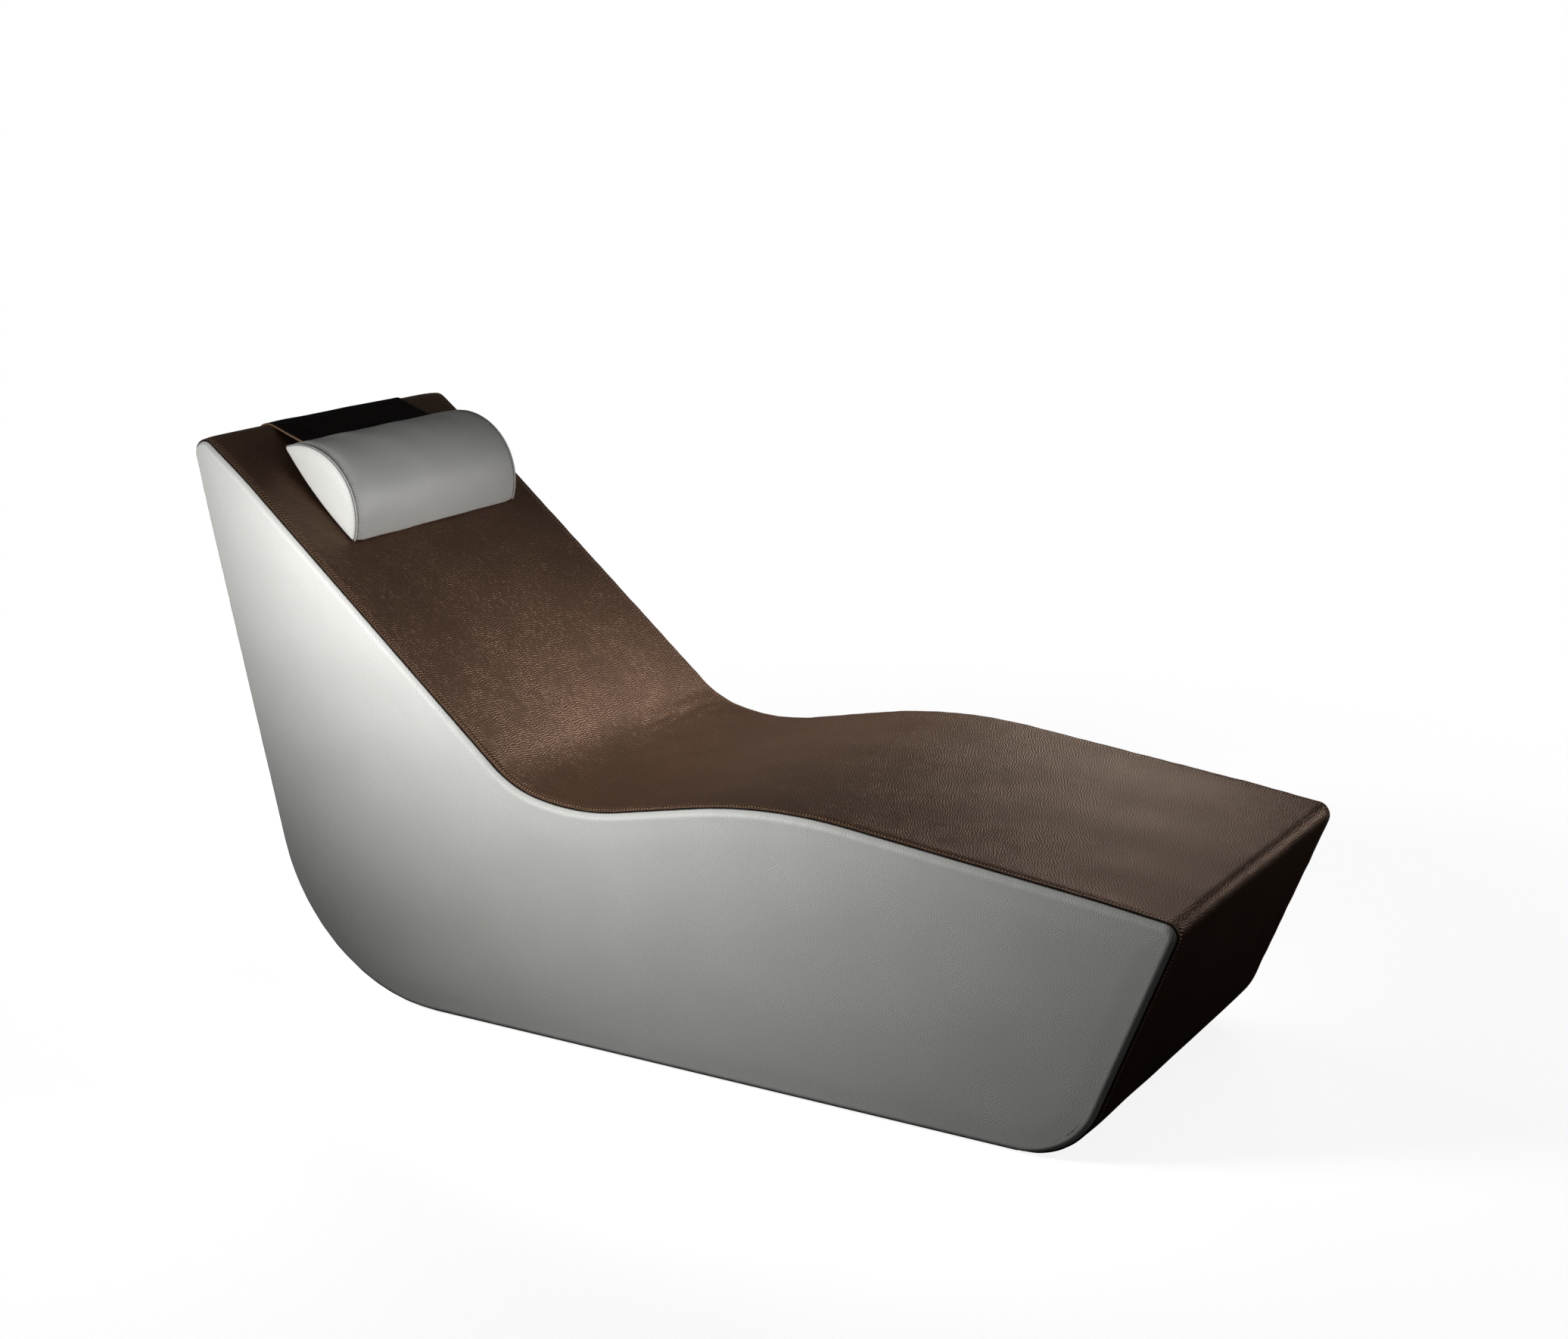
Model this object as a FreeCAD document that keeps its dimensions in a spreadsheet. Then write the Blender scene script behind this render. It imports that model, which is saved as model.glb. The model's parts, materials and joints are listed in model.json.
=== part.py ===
import FreeCAD, Part
import Sketcher
import math
import os

# Spa relaxation lounger, in millimetres. X runs from the head to the foot end, Y across, Z up.
# The side outline is drawn in its own x, measured from the back. All pieces move to the origin last.

doc = FreeCAD.newDocument("lounger")
Vector = FreeCAD.Vector

# Driving sizes

sheet = doc.addObject("Spreadsheet::Sheet", "Sizes")
sizes = [
    ("overall_width", 665, "outside of one side cover to the outside of the other"),
    ("heel_x", 184, "outline corner between the floor line and the back"),
    ("heel_radius", 346, "rounding between the floor line and the back"),
    ("crest_x", -27, "outline corner at the top of the back"),
    ("crest_z", 1065, "above the body's underside"),
    ("crest_radius", 27, "rounding at the top of the back"),
    ("lumbar_x", 680, "outline corner where the back slope ends"),
    ("lumbar_z", 450, "above the body's underside"),
    ("lumbar_radius", 200, "first bend of the seat dip"),
    ("seat_x", 817.7, "outline corner at the bottom of the seat dip"),
    ("seat_z", 423.3, "above the body's underside"),
    ("seat_radius", 450, "second bend of the seat dip"),
    ("knee_x", 1202, "outline corner of the knee hump"),
    ("knee_z", 495.5, "above the body's underside"),
    ("knee_radius", 1000, "bend of the knee hump"),
    ("toe_x", 1913.7, "outline corner at the foot tip"),
    ("toe_z", 415, "above the body's underside"),
    ("toe_radius", 20, "rounding of the foot tip"),
    ("foot_x", 1746, "outline corner between the foot end and the floor line"),
    ("foot_radius", 150, "rounding between the foot end and the floor line"),
    ("crest_crown", 1.5, "how far the middle of the width stands proud of the seams, at crest and toe"),
    ("back_crown", 6, "the same at the end of the back slope"),
    ("seat_crown", 8, "the same at the seat dip and the knee"),
    ("edge_crown", 3, "the same on the back and the foot end"),
    ("cover", 2, "leather with its lining"),
    ("soft_gap", 0.3, "clearance round soft pieces"),
    ("top_pad", 50, "foam on the lying surface"),
    ("edge_pad", 20, "foam on the back and the foot end"),
    ("side_pad", 20, "foam on the sides"),
    ("crest_lap", 125, "from the crest corner to the seam behind the crest"),
    ("rim_depth", 10, "how far a side cover turns in to its seam"),
    ("rim_wall", 0.5, "straight part of the rim beside its seam"),
    ("deck", 9, "plywood decks and panels"),
    ("side_board", 18, "plywood side frames"),
    ("rail_width", 45, "cross rails, along the outline"),
    ("rail_depth", 45, "cross rails, into the frame"),
    ("light_hole_radius", 60, "lightening holes in the side frames"),
    ("light_hole_pitch", 230, "from one lightening hole to the next"),
    ("screw_radius", 2.5, "wood screws through the side frames"),
    ("screw_length", 60, "wood screws, under their flat head"),
    ("screw_head_radius", 5, "countersunk head"),
    ("screw_head_depth", 3, "countersunk head"),
    ("screw_spacing", 22, "between the two screws of a rail end"),
    ("screw_fit", 0.1, "clearance round a screw"),
    ("runner_width", 60, "base runners"),
    ("runner_inset", 27, "from a side frame's inner face to a base runner"),
    ("dust_cloth", 1, "dust cover"),
    ("glide_radius", 16, "plastic glides"),
    ("glide_height", 6, "from the floor to the body's underside"),
    ("glide_inset", 90, "from a runner's end to the first glide"),
    ("glide_screw_radius", 2, "screws that hold the glides"),
    ("glide_screw_length", 18, "under the head"),
    ("glide_head_radius", 4, "pan head"),
    ("glide_head_depth", 2.5, "pan head"),
    ("pillow_length", 460, "headrest, from one end seam to the other"),
    ("pillow_chord", 223, "headrest, along the back"),
    ("pillow_rise", 77, "headrest, height of its round side"),
    ("pillow_belly", 9, "headrest, how far its underside bulges"),
    ("pillow_tilt", 6.8, "degrees between its underside and the back"),
    ("pillow_place", 143, "from the crest corner to the pillow, along the back"),
    ("pillow_offset", 20, "sideways from the middle"),
    ("pillow_crown", 3, "how far its middle stands proud of its ends"),
    ("cap_dome", 7, "how far an end cap bulges"),
    ("cap_draw", 26, "how far an end cap draws in from its seam to its top"),
    ("zip_length", 380, "zip in the headrest's underside"),
    ("zip_width", 7, "zip chain"),
    ("zip_height", 1.6, "zip chain"),
    ("zip_place", 26, "from the pillow's upper edge"),
    ("slider_length", 11, "zip slider, along the zip"),
    ("slider_width", 9, "zip slider, across the zip"),
    ("slider_height", 3, "zip slider"),
    ("slider_inset", 12, "from the closed end of the zip"),
    ("puller_length", 22, "the slider's pull tab"),
    ("puller_width", 5, "the slider's pull tab"),
    ("puller_height", 1.2, "the slider's pull tab"),
    ("strap_width", 364, "strap over the crest"),
    ("strap", 3, "strap thickness"),
    ("strap_drop", 230, "straight part behind the back, down to the weight pouch"),
    ("pouch_wall", 2, "leather of the weight pouch"),
    ("bar_length", 155, "steel weight bars"),
    ("bar_height", 51, "steel weight bars"),
    ("bar_width", 10, "steel weight bars, thickness"),
]
for row, (alias, value, note) in enumerate(sizes, 1):
    sheet.set(f"A{row}", alias)
    sheet.set(f"B{row}", str(value))
    sheet.set(f"C{row}", note)
    sheet.setAlias(f"B{row}", alias)
doc.recompute()


def size(alias):
    return float(sheet.get(alias))


cover = size("cover")
gap = size("soft_gap")
deck = size("deck")
half_width = size("overall_width") / 2
seam_y = half_width - size("rim_depth")
side_pad_out = half_width - cover - gap
board_out = side_pad_out - size("side_pad") - gap
board_in = board_out - size("side_board")

# The side outline: seven corners, going round from the heel up the back

ground = size("glide_height")
corner_names = ["heel", "crest", "lumbar", "seat", "knee", "toe", "foot"]
floor_line_names = ["heel", "foot"]
outline = [
    Vector(size(n + "_x"), 0, ground + (0 if n in floor_line_names else size(n + "_z")))
    for n in corner_names
]
radii = [size(n + "_radius") for n in corner_names]
HEEL, CREST, LUMBAR, SEAT, KNEE, TOE, FOOT = range(len(corner_names))
# Its straight edges, each named at the corner where it starts
REAR, BACK, DIP, RISE, LEG, END, FLOOR = range(len(corner_names))


def meet(p, d, q, e):
    """Where two lines in the side plane cross."""
    s = ((q.x - p.x) * e.z - (q.z - p.z) * e.x) / (d.x * e.z - d.z * e.x)
    return p + d * s


def direction(a, b):
    return (b - a).normalize()


def inward(d):
    """Normal that points into the outline."""
    return Vector(d.z, 0, -d.x)


def layer(top, edge):
    """Corners and corner radii of a layer, top deep below the lying surface and edge deep elsewhere."""
    depths = [top if i in (BACK, DIP, RISE, LEG) else edge for i in range(len(outline))]
    count = len(outline)
    ways = [direction(outline[i], outline[(i + 1) % count]) for i in range(count)]
    starts = [outline[i] + inward(ways[i]) * depths[i] for i in range(count)]
    points = [meet(starts[i - 1], ways[i - 1], starts[i], ways[i]) for i in range(count)]
    rounds = []
    for i in range(count):
        depth = min(depths[i - 1], depths[i])
        turn_in = i in (LUMBAR, SEAT)
        rounds.append(radii[i] + depth if turn_in else max(radii[i] - depth, 0.0))
    return points, rounds


def crowned(points):
    """The same corners in the middle of the width, where the upholstery stands proud."""
    crowns = {
        HEEL: size("edge_crown"),
        CREST: size("crest_crown"),
        LUMBAR: size("back_crown"),
        SEAT: size("seat_crown"),
        KNEE: size("seat_crown"),
        TOE: size("crest_crown"),
        FOOT: size("edge_crown"),
    }
    moved = []
    for i, p in enumerate(points):
        before = direction(points[i - 1], p)
        after = direction(p, points[(i + 1) % len(points)])
        out = (inward(before) + inward(after)).normalize() * -1
        flat = i in (HEEL, FOOT)
        out = Vector(out.x, 0, 0).normalize() if flat else out
        moved.append(p + out * crowns[i])
    return moved


def path(points, rounds, closed=False):
    """Lines and tangent arcs along a row of corners. An open path keeps its first and last point."""
    count = len(points)
    tiny = Part.Precision.confusion()
    edges = []
    here = None if closed else points[0]
    first = here
    for i in range(count) if closed else range(1, count - 1):
        p = points[i]
        before = direction(points[i - 1], p)
        after = direction(p, points[(i + 1) % count])
        turn = before.getAngle(after)
        tangent = rounds[i] * math.tan(turn / 2)
        arc_start = p - before * tangent
        arc_end = p + after * tangent
        if here is None:
            first = arc_start
        elif here.distanceToPoint(arc_start) > tiny:
            edges.append(Part.LineSegment(here, arc_start).toShape())
        if tangent > tiny:
            bisector = (after - before).normalize()
            centre = p + bisector * (rounds[i] / math.cos(turn / 2))
            edges.append(Part.Arc(arc_start, centre - bisector * rounds[i], arc_end).toShape())
        here = arc_end
    finish = first if closed else points[-1]
    if here.distanceToPoint(finish) > tiny:
        edges.append(Part.LineSegment(here, finish).toShape())
    return edges


def between(outer, inner, corners, start, finish, inner_corners=None):
    """Edges of a closed band between two layers. start and finish are pairs, outer point first."""
    inner_corners = corners if inner_corners is None else inner_corners
    out_points = [start[0]] + [outer[0][i] for i in corners] + [finish[0]]
    out_rounds = [0] + [outer[1][i] for i in corners] + [0]
    in_points = [finish[1]] + [inner[0][i] for i in reversed(inner_corners)] + [start[1]]
    in_rounds = [0] + [inner[1][i] for i in reversed(inner_corners)] + [0]
    far_end = Part.LineSegment(finish[0], finish[1]).toShape()
    near_end = Part.LineSegment(start[1], start[0]).toShape()
    return path(out_points, out_rounds) + [far_end] + path(in_points, in_rounds) + [near_end]


def foot_on(p, a, b):
    """The point of the line through a and b that is nearest to p."""
    along = direction(a, b)
    return a + along * (p - a).dot(along)


def at_y(edges, y):
    wire = Part.Wire(edges)
    wire.translate(Vector(0, y, 0))
    return wire


def extruded(edges, low, high):
    """A side plane outline, drawn across the width from low to high."""
    return Part.Face(at_y(edges, low)).extrude(Vector(0, high - low, 0))


def swelled(seam_edges, middle_edges, half):
    """A band that stands proud in the middle of the width."""
    wires = [at_y(seam_edges, -half), at_y(middle_edges, 0), at_y(seam_edges, half)]
    return Part.makeLoft(wires, True, False)


def solid_node(label, shape):
    node = doc.addObject("Part::Feature", label)
    node.Label = label
    node.Shape = shape
    return node


nodes = []

# Layers, from the leather inwards

leather_out = layer(0, 0)
leather_in = layer(cover, cover)
foam_out = layer(cover + gap, cover + gap)
foam_in = layer(cover + gap + size("top_pad"), cover + gap + size("edge_pad"))
deck_out = layer(cover + 2 * gap + size("top_pad"), cover + 2 * gap + size("edge_pad"))
frame = layer(cover + 2 * gap + size("top_pad") + deck, cover + 2 * gap + size("edge_pad") + deck)


def raised(one_layer):
    return crowned(one_layer[0]), one_layer[1]


def heel_end(one_layer):
    """Where the round heel runs into the flat floor line."""
    points, rounds = one_layer
    turn = direction(points[FOOT], points[HEEL]).getAngle(direction(points[HEEL], points[CREST]))
    return points[HEEL] + Vector(rounds[HEEL] * math.tan(turn / 2), 0, 0)


def foot_end(one_layer):
    """Where the round front corner runs into the flat floor line."""
    points, rounds = one_layer
    turn = direction(points[TOE], points[FOOT]).getAngle(direction(points[FOOT], points[HEEL]))
    return points[FOOT] - Vector(rounds[FOOT] * math.tan(turn / 2), 0, 0)


# Side frames: plywood, with lightening holes and countersunk screw holes

# Each rail lies on an edge of the frame, at a share of its straight part
rail_shares = [
    ("head_rail", BACK, 0.2),
    ("back_rail", BACK, 0.58),
    ("lumbar_rail", BACK, 0.96),
    ("seat_rail", RISE, 0.5),
    ("calf_rail", LEG, 0.12),
    ("shin_rail", LEG, 0.52),
    ("toe_rail", LEG, 0.9),
    ("foot_rail", END, 0.6),
    ("front_base_rail", FLOOR, 0.03),
    ("middle_base_rail", FLOOR, 0.5),
    ("rear_base_rail", FLOOR, 0.97),
    ("rear_rail", REAR, 0.45),
]


def straight_ends(one_layer, edge):
    """The two ends of an edge's straight part, between its corner arcs."""
    points, rounds = one_layer
    count = len(points)
    a, b = points[edge], points[(edge + 1) % count]
    before = direction(points[edge - 1], a)
    along = direction(a, b)
    after = direction(b, points[(edge + 2) % count])
    first = a + along * (rounds[edge] * math.tan(before.getAngle(along) / 2))
    second = b - along * (rounds[(edge + 1) % count] * math.tan(along.getAngle(after) / 2))
    return first, second


def screw_shape(x, z, side, spare):
    """A countersunk wood screw along Y, driven in from one side. spare is added all round, for its hole."""
    into = Vector(0, -side, 0)
    head = Vector(x, side * board_out, z)
    radius = size("screw_radius") + spare
    head_radius = size("screw_head_radius") + spare
    depth = size("screw_head_depth")
    shank = Part.makeCylinder(radius, size("screw_length") + spare, head, into)
    cone = Part.makeCone(head_radius, radius, depth, head, into)
    shape = shank.fuse(cone)
    return shape.fuse(Part.makeCylinder(head_radius, spare, head - into * spare, into)) if spare else shape


screws = []
rails = []
for name, edge, share in rail_shares:
    first, second = straight_ends(frame, edge)
    along = direction(first, second)
    into = inward(along)
    middle = first + (second - first) * share
    rail = doc.addObject("Part::Box", name + "_blank")
    rail.setExpression("Length", "Sizes.rail_width")
    rail.setExpression("Height", "Sizes.rail_depth")
    rail.Width = 2 * board_in
    corner = middle - along * (size("rail_width") / 2) + into * size("rail_depth") - Vector(0, board_in, 0)
    rail.Placement = FreeCAD.Placement(corner, FreeCAD.Rotation(along, Vector(0, 1, 0), -into, "XYZ"))
    screw_line = middle + into * (size("rail_depth") / 2)
    spots = [screw_line + along * (k * size("screw_spacing") / 2) for k in (-1, 1)]
    places = [(p.x, p.z, side) for p in spots for side in (-1, 1)]
    screws += places
    rails.append((name, rail, places))

screw_fit = size("screw_fit")
holes = doc.addObject("Part::Feature", "screw_holes")
holes.Shape = Part.makeCompound([screw_shape(*place, screw_fit) for place in screws])

light_z = (frame[0][HEEL].z + frame[0][SEAT].z) / 2
light_start = heel_end(frame).x + size("light_hole_radius")
light_room = foot_end(frame).x - size("light_hole_radius") - light_start
light_count = int(light_room / size("light_hole_pitch")) + 1
for label, face_y in (("side_frame_left", -board_in), ("side_frame_right", board_out)):
    body = doc.addObject("PartDesign::Body", label + "_board")
    plane = [f for f in body.Origin.OriginFeatures if f.Role == "XZ_Plane"][0]
    outline_sketch = body.newObject("Sketcher::SketchObject", label + "_outline")
    outline_sketch.AttachmentSupport = [(plane, "")]
    outline_sketch.MapMode = "FlatFace"
    board_path = path(*frame, closed=True)
    for edge in board_path:
        a, b = [Vector(v.X, v.Z, 0) for v in (edge.firstVertex(True), edge.lastVertex(True))]
        if edge.Curve.TypeId == "Part::GeomCircle":
            m = edge.valueAt((edge.FirstParameter + edge.LastParameter) / 2)
            outline_sketch.addGeometry(Part.Arc(a, Vector(m.x, m.z, 0), b), False)
        else:
            outline_sketch.addGeometry(Part.LineSegment(a, b), False)
    pad = body.newObject("PartDesign::Pad", label + "_pad")
    pad.Profile = outline_sketch
    pad.setExpression("Length", "Sizes.side_board")
    light_sketch = body.newObject("Sketcher::SketchObject", label + "_light_holes")
    light_sketch.AttachmentSupport = [(plane, "")]
    light_sketch.MapMode = "FlatFace"
    for k in range(light_count):
        centre = Vector(light_start + k * size("light_hole_pitch"), light_z, 0)
        circle = Part.Circle(centre, Vector(0, 0, 1), size("light_hole_radius"))
        index = light_sketch.addGeometry(circle, False)
        radius_rule = Sketcher.Constraint("Radius", index, size("light_hole_radius"))
        constraint = light_sketch.addConstraint(radius_rule)
        light_sketch.setExpression(f"Constraints[{constraint}]", "Sizes.light_hole_radius")
    doc.recompute()
    full = pad.Shape.Volume
    pocket = body.newObject("PartDesign::Pocket", label + "_pocket")
    pocket.Profile = light_sketch
    pocket.Type = "ThroughAll"
    pocket.Reversed = True
    doc.recompute()
    if not pocket.Shape.Volume < full:
        raise RuntimeError(label + ": the lightening holes cut nothing")
    body.Placement = FreeCAD.Placement(Vector(0, face_y, 0), FreeCAD.Rotation())
    board = doc.addObject("Part::Cut", label)
    board.Base = body
    board.Tool = holes
    nodes.append(board)

for name, blank, places in rails:
    tool = doc.addObject("Part::Feature", name + "_holes")
    tool.Shape = Part.makeCompound([screw_shape(*place, screw_fit) for place in places])
    rail = doc.addObject("Part::Cut", name)
    rail.Base = blank
    rail.Tool = tool
    nodes.append(rail)

nodes.append(solid_node("frame_screws", Part.makeCompound([screw_shape(*place, 0) for place in screws])))

# Decks and panels on the frame: plywood, mitred where they meet at the crest and at the toe

mitre = {i: (deck_out[0][i], frame[0][i]) for i in (CREST, TOE)}
lumbar_start = straight_ends(frame, BACK)[1]
lumbar_joint = (foot_on(lumbar_start, deck_out[0][CREST], deck_out[0][LUMBAR]), lumbar_start)
heel_joint = (heel_end(deck_out), heel_end(frame))
foot_joint = (foot_end(deck_out), foot_end(frame))
decks = [
    ("back_deck", [], mitre[CREST], lumbar_joint),
    ("seat_deck", [LUMBAR, SEAT, KNEE], lumbar_joint, mitre[TOE]),
    ("foot_panel", [FOOT], mitre[TOE], foot_joint),
    ("base_board", [], foot_joint, heel_joint),
    ("rear_panel", [HEEL], heel_joint, mitre[CREST]),
]
for name, corners, start, finish in decks:
    edges = between(deck_out, frame, corners, start, finish)
    nodes.append(solid_node(name, extruded(edges, -board_out, board_out)))

# Base runners, glides and their screws, and the dust cover that they hold

flat_start = heel_end(leather_out).x
flat_end = foot_end(leather_out).x
runner_low = ground + size("dust_cloth") + gap
runner_top = deck_out[0][HEEL].z
glide_xs = [
    flat_start + size("glide_inset"),
    (flat_start + flat_end) / 2,
    flat_end - size("glide_inset"),
]
runner_y = board_in - size("runner_inset") - size("runner_width") / 2
glide_spots = [(x, side * runner_y) for side in (-1, 1) for x in glide_xs]


def glide_screw(x, y, spare):
    """A pan head screw that stands upright in a glide. spare is added all round, for its hole."""
    base = Vector(x, y, size("glide_height") - size("glide_head_depth") - size("dust_cloth"))
    top = base + Vector(0, 0, size("glide_head_depth"))
    head_radius = size("glide_head_radius") + spare
    head = Part.makeCylinder(head_radius, size("glide_head_depth"), base)
    shank = Part.makeCylinder(size("glide_screw_radius") + spare, size("glide_screw_length") + spare, top)
    screw = head.fuse(shank)
    return screw.fuse(Part.makeCylinder(head_radius, base.z, Vector(x, y, 0))) if spare else screw


glide_holes = doc.addObject("Part::Feature", "glide_holes")
glide_holes.Shape = Part.makeCompound([glide_screw(x, y, screw_fit) for x, y in glide_spots])
blanks = []
for x, y in glide_spots:
    blank = doc.addObject("Part::Cylinder", "glide_blank")
    blank.setExpression("Radius", "Sizes.glide_radius")
    blank.setExpression("Height", "Sizes.glide_height")
    blank.Placement.Base = Vector(x, y, 0)
    blanks.append(blank)
glide_blanks = doc.addObject("Part::Compound", "glide_blanks")
glide_blanks.Links = blanks

runner_blanks = []
for side in (-1, 1):
    runner = doc.addObject("Part::Box", "runner_blank")
    runner.Length = flat_end - flat_start - 2 * gap
    runner.setExpression("Width", "Sizes.runner_width")
    runner.Height = runner_top - runner_low
    runner_edge = side * runner_y - size("runner_width") / 2
    runner.Placement.Base = Vector(flat_start + gap, runner_edge, runner_low)
    runner_blanks.append(runner)

dust_blank = doc.addObject("Part::Box", "dust_blank")
dust_blank.Length = flat_end - flat_start - 2 * gap
dust_blank.Width = 2 * (seam_y - gap)
dust_blank.setExpression("Height", "Sizes.dust_cloth")
dust_blank.Placement.Base = Vector(flat_start + gap, gap - seam_y, ground)

bored = [
    ("glides", glide_blanks),
    ("base_runner_left", runner_blanks[0]),
    ("base_runner_right", runner_blanks[1]),
    ("dust_cover", dust_blank),
]
for name, blank in bored:
    piece = doc.addObject("Part::Cut", name)
    piece.Base = blank
    piece.Tool = glide_holes
    nodes.append(piece)
nodes.append(solid_node("glide_screws", Part.makeCompound([glide_screw(x, y, 0) for x, y in glide_spots])))

# Foam: the top foam wraps the crest and the toe and swells in the middle of the width

lying = [CREST, LUMBAR, SEAT, KNEE, TOE]
hollow = [LUMBAR, SEAT, KNEE]


def top_foam_edges(outer):
    start = foot_on(foam_in[0][CREST], outer[0][HEEL], outer[0][CREST])
    finish = foot_on(foam_in[0][TOE], outer[0][TOE], outer[0][FOOT])
    return between(outer, foam_in, lying, (start, foam_in[0][CREST]), (finish, foam_in[0][TOE]), hollow)


def rear_foam_edges(outer):
    down = direction(foam_in[0][CREST], foam_in[0][HEEL]) * gap
    inner_end = foam_in[0][CREST] + down
    outer_end = foot_on(inner_end, outer[0][HEEL], outer[0][CREST])
    return between(outer, foam_in, [HEEL], (heel_end(outer), heel_end(foam_in)), (outer_end, inner_end))


def foot_foam_edges(outer):
    down = direction(foam_in[0][TOE], foam_in[0][FOOT]) * gap
    inner_start = foam_in[0][TOE] + down
    outer_start = foot_on(inner_start, outer[0][TOE], outer[0][FOOT])
    return between(outer, foam_in, [FOOT], (outer_start, inner_start), (foot_end(outer), foot_end(foam_in)))


foams = [("top_foam", top_foam_edges), ("rear_foam", rear_foam_edges), ("foot_foam", foot_foam_edges)]
for name, edges_of in foams:
    shape = swelled(edges_of(foam_out), edges_of(raised(foam_out)), board_out)
    nodes.append(solid_node(name, shape))

# Leather strips round the outline. The seat cover laps over the crest, where the rear cover meets it.

strip_half = seam_y - gap


def lap_point(one_layer, spare):
    """On the back line, below the crest: where the two covers meet."""
    points = one_layer[0]
    return points[CREST] + direction(points[CREST], points[HEEL]) * (size("crest_lap") + spare)


def seat_cover_edges(outer, inner):
    start = (lap_point(outer, 0), foot_on(lap_point(outer, 0), inner[0][CREST], inner[0][HEEL]))
    finish = (foot_end(outer), foot_end(inner))
    return between(outer, inner, lying + [FOOT], start, finish)


def rear_cover_edges(outer, inner):
    start = (heel_end(outer), heel_end(inner))
    finish = (lap_point(outer, gap), foot_on(lap_point(outer, gap), inner[0][CREST], inner[0][HEEL]))
    return between(outer, inner, [HEEL], start, finish)


for name, edges_of in (("seat_cover", seat_cover_edges), ("rear_cover", rear_cover_edges)):
    seam_edges = edges_of(leather_out, leather_in)
    middle_edges = edges_of(raised(leather_out), raised(leather_in))
    nodes.append(solid_node(name, swelled(seam_edges, middle_edges, strip_half)))

# Sides: foam plates and leather covers with rounded rims

rim_radius = size("rim_depth") - size("rim_wall")


def rounded_plate(one_layer, low, high, radius, side):
    """A plate of the layer's outline whose outer edge, at high, is rounded. side is -1 or 1."""
    plate = extruded(path(*one_layer, closed=True), side * low, side * high)
    rim = []
    for edge in plate.Edges:
        ends = (edge.BoundBox.YMin, edge.BoundBox.YMax)
        if all(abs(y - side * high) < radius / 2 for y in ends):
            rim.append(edge)
    return plate.makeFillet(radius, rim)


for side, word in ((-1, "left"), (1, "right")):
    foam_plate = rounded_plate(foam_out, board_out + gap, side_pad_out, rim_radius - cover - gap, side)
    nodes.append(solid_node("side_foam_" + word, foam_plate))
    outside = rounded_plate(leather_out, seam_y, half_width, rim_radius, side)
    inside = rounded_plate(leather_in, seam_y, half_width - cover, rim_radius - cover, side)
    nodes.append(solid_node("side_cover_" + word, outside.cut(inside)))

# Headrest: a half-round pillow that lies on the swelled back slope

middle_line = raised(leather_out)[0]
slope = direction(middle_line[CREST], middle_line[LUMBAR])
out = inward(slope) * -1
tilt = math.radians(size("pillow_tilt"))
chord = size("pillow_chord")
rise = size("pillow_rise")
belly = size("pillow_belly")
belly_radius = (chord ** 2 / 4 + belly ** 2) / (2 * belly)
pillow_lift = gap + belly_radius + chord / 2 * math.sin(tilt) - (belly_radius - belly) * math.cos(tilt)
pillow_edge = middle_line[CREST] + slope * size("pillow_place") + out * pillow_lift
along_chord = slope * math.cos(tilt) - out * math.sin(tilt)
off_chord = out * math.cos(tilt) + slope * math.sin(tilt)
pillow_y = size("pillow_offset")
half_pillow = size("pillow_length") / 2


def chord_point(p, q, y=0.0):
    """p along the underside from the pillow's upper edge, q away from the back, y from its middle."""
    return pillow_edge + along_chord * p + off_chord * q + Vector(0, pillow_y + y, 0)


def pillow_section(depth, crown, y):
    """The pillow's section, depth below its surface: an arc for the round side, one for the underside."""
    height = rise + crown
    arch_radius = (chord ** 2 / 4 + height ** 2) / (2 * height)
    arch_q = height - arch_radius
    belly_q = belly_radius - belly
    a = arch_radius - depth
    b = belly_radius - depth
    corner_q = (arch_q ** 2 - belly_q ** 2 - a ** 2 + b ** 2) / (2 * (arch_q - belly_q))
    half = math.sqrt(a ** 2 - (corner_q - arch_q) ** 2)
    upper = chord_point(chord / 2 - half, corner_q, y)
    lower = chord_point(chord / 2 + half, corner_q, y)
    arch = Part.Arc(upper, chord_point(chord / 2, arch_q + a, y), lower).toShape()
    under = Part.Arc(lower, chord_point(chord / 2, belly_q - b, y), upper).toShape()
    return Part.Wire([arch, under])


def pillow_body(depth):
    stations = [(-half_pillow, 0.0), (0.0, size("pillow_crown")), (half_pillow, 0.0)]
    return Part.makeLoft([pillow_section(depth, crown, y) for y, crown in stations], True, False)


dome_shares = [0.0, 0.3, 0.6, 0.85, 1.0]


def cap_body(depth, side):
    """A pillow end that bulges past its seam, depth below its surface."""
    dome = size("cap_dome") - depth
    wires = []
    for share in dome_shares:
        y = half_pillow + dome * math.sin(share * math.pi / 2)
        draw_in = depth + size("cap_draw") * (1 - math.cos(share * math.pi / 2))
        wires.append(pillow_section(draw_in, 0.0, side * y))
    return Part.makeLoft(wires, True, True)


wrap = pillow_body(0).cut(pillow_body(cover))

# Zip in the underside, near the upper edge

zip_p = size("zip_place")
zip_angle = math.asin((zip_p - chord / 2) / belly_radius)
zip_q = (belly_radius - belly) - belly_radius * math.cos(zip_angle)
zip_in = off_chord * math.cos(zip_angle) - along_chord * math.sin(zip_angle)
zip_along = along_chord * math.cos(zip_angle) + off_chord * math.sin(zip_angle)
zip_point = chord_point(zip_p, zip_q)
zip_turn = FreeCAD.Rotation(zip_along, Vector(0, 1, 0), zip_in, "XYZ")


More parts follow.
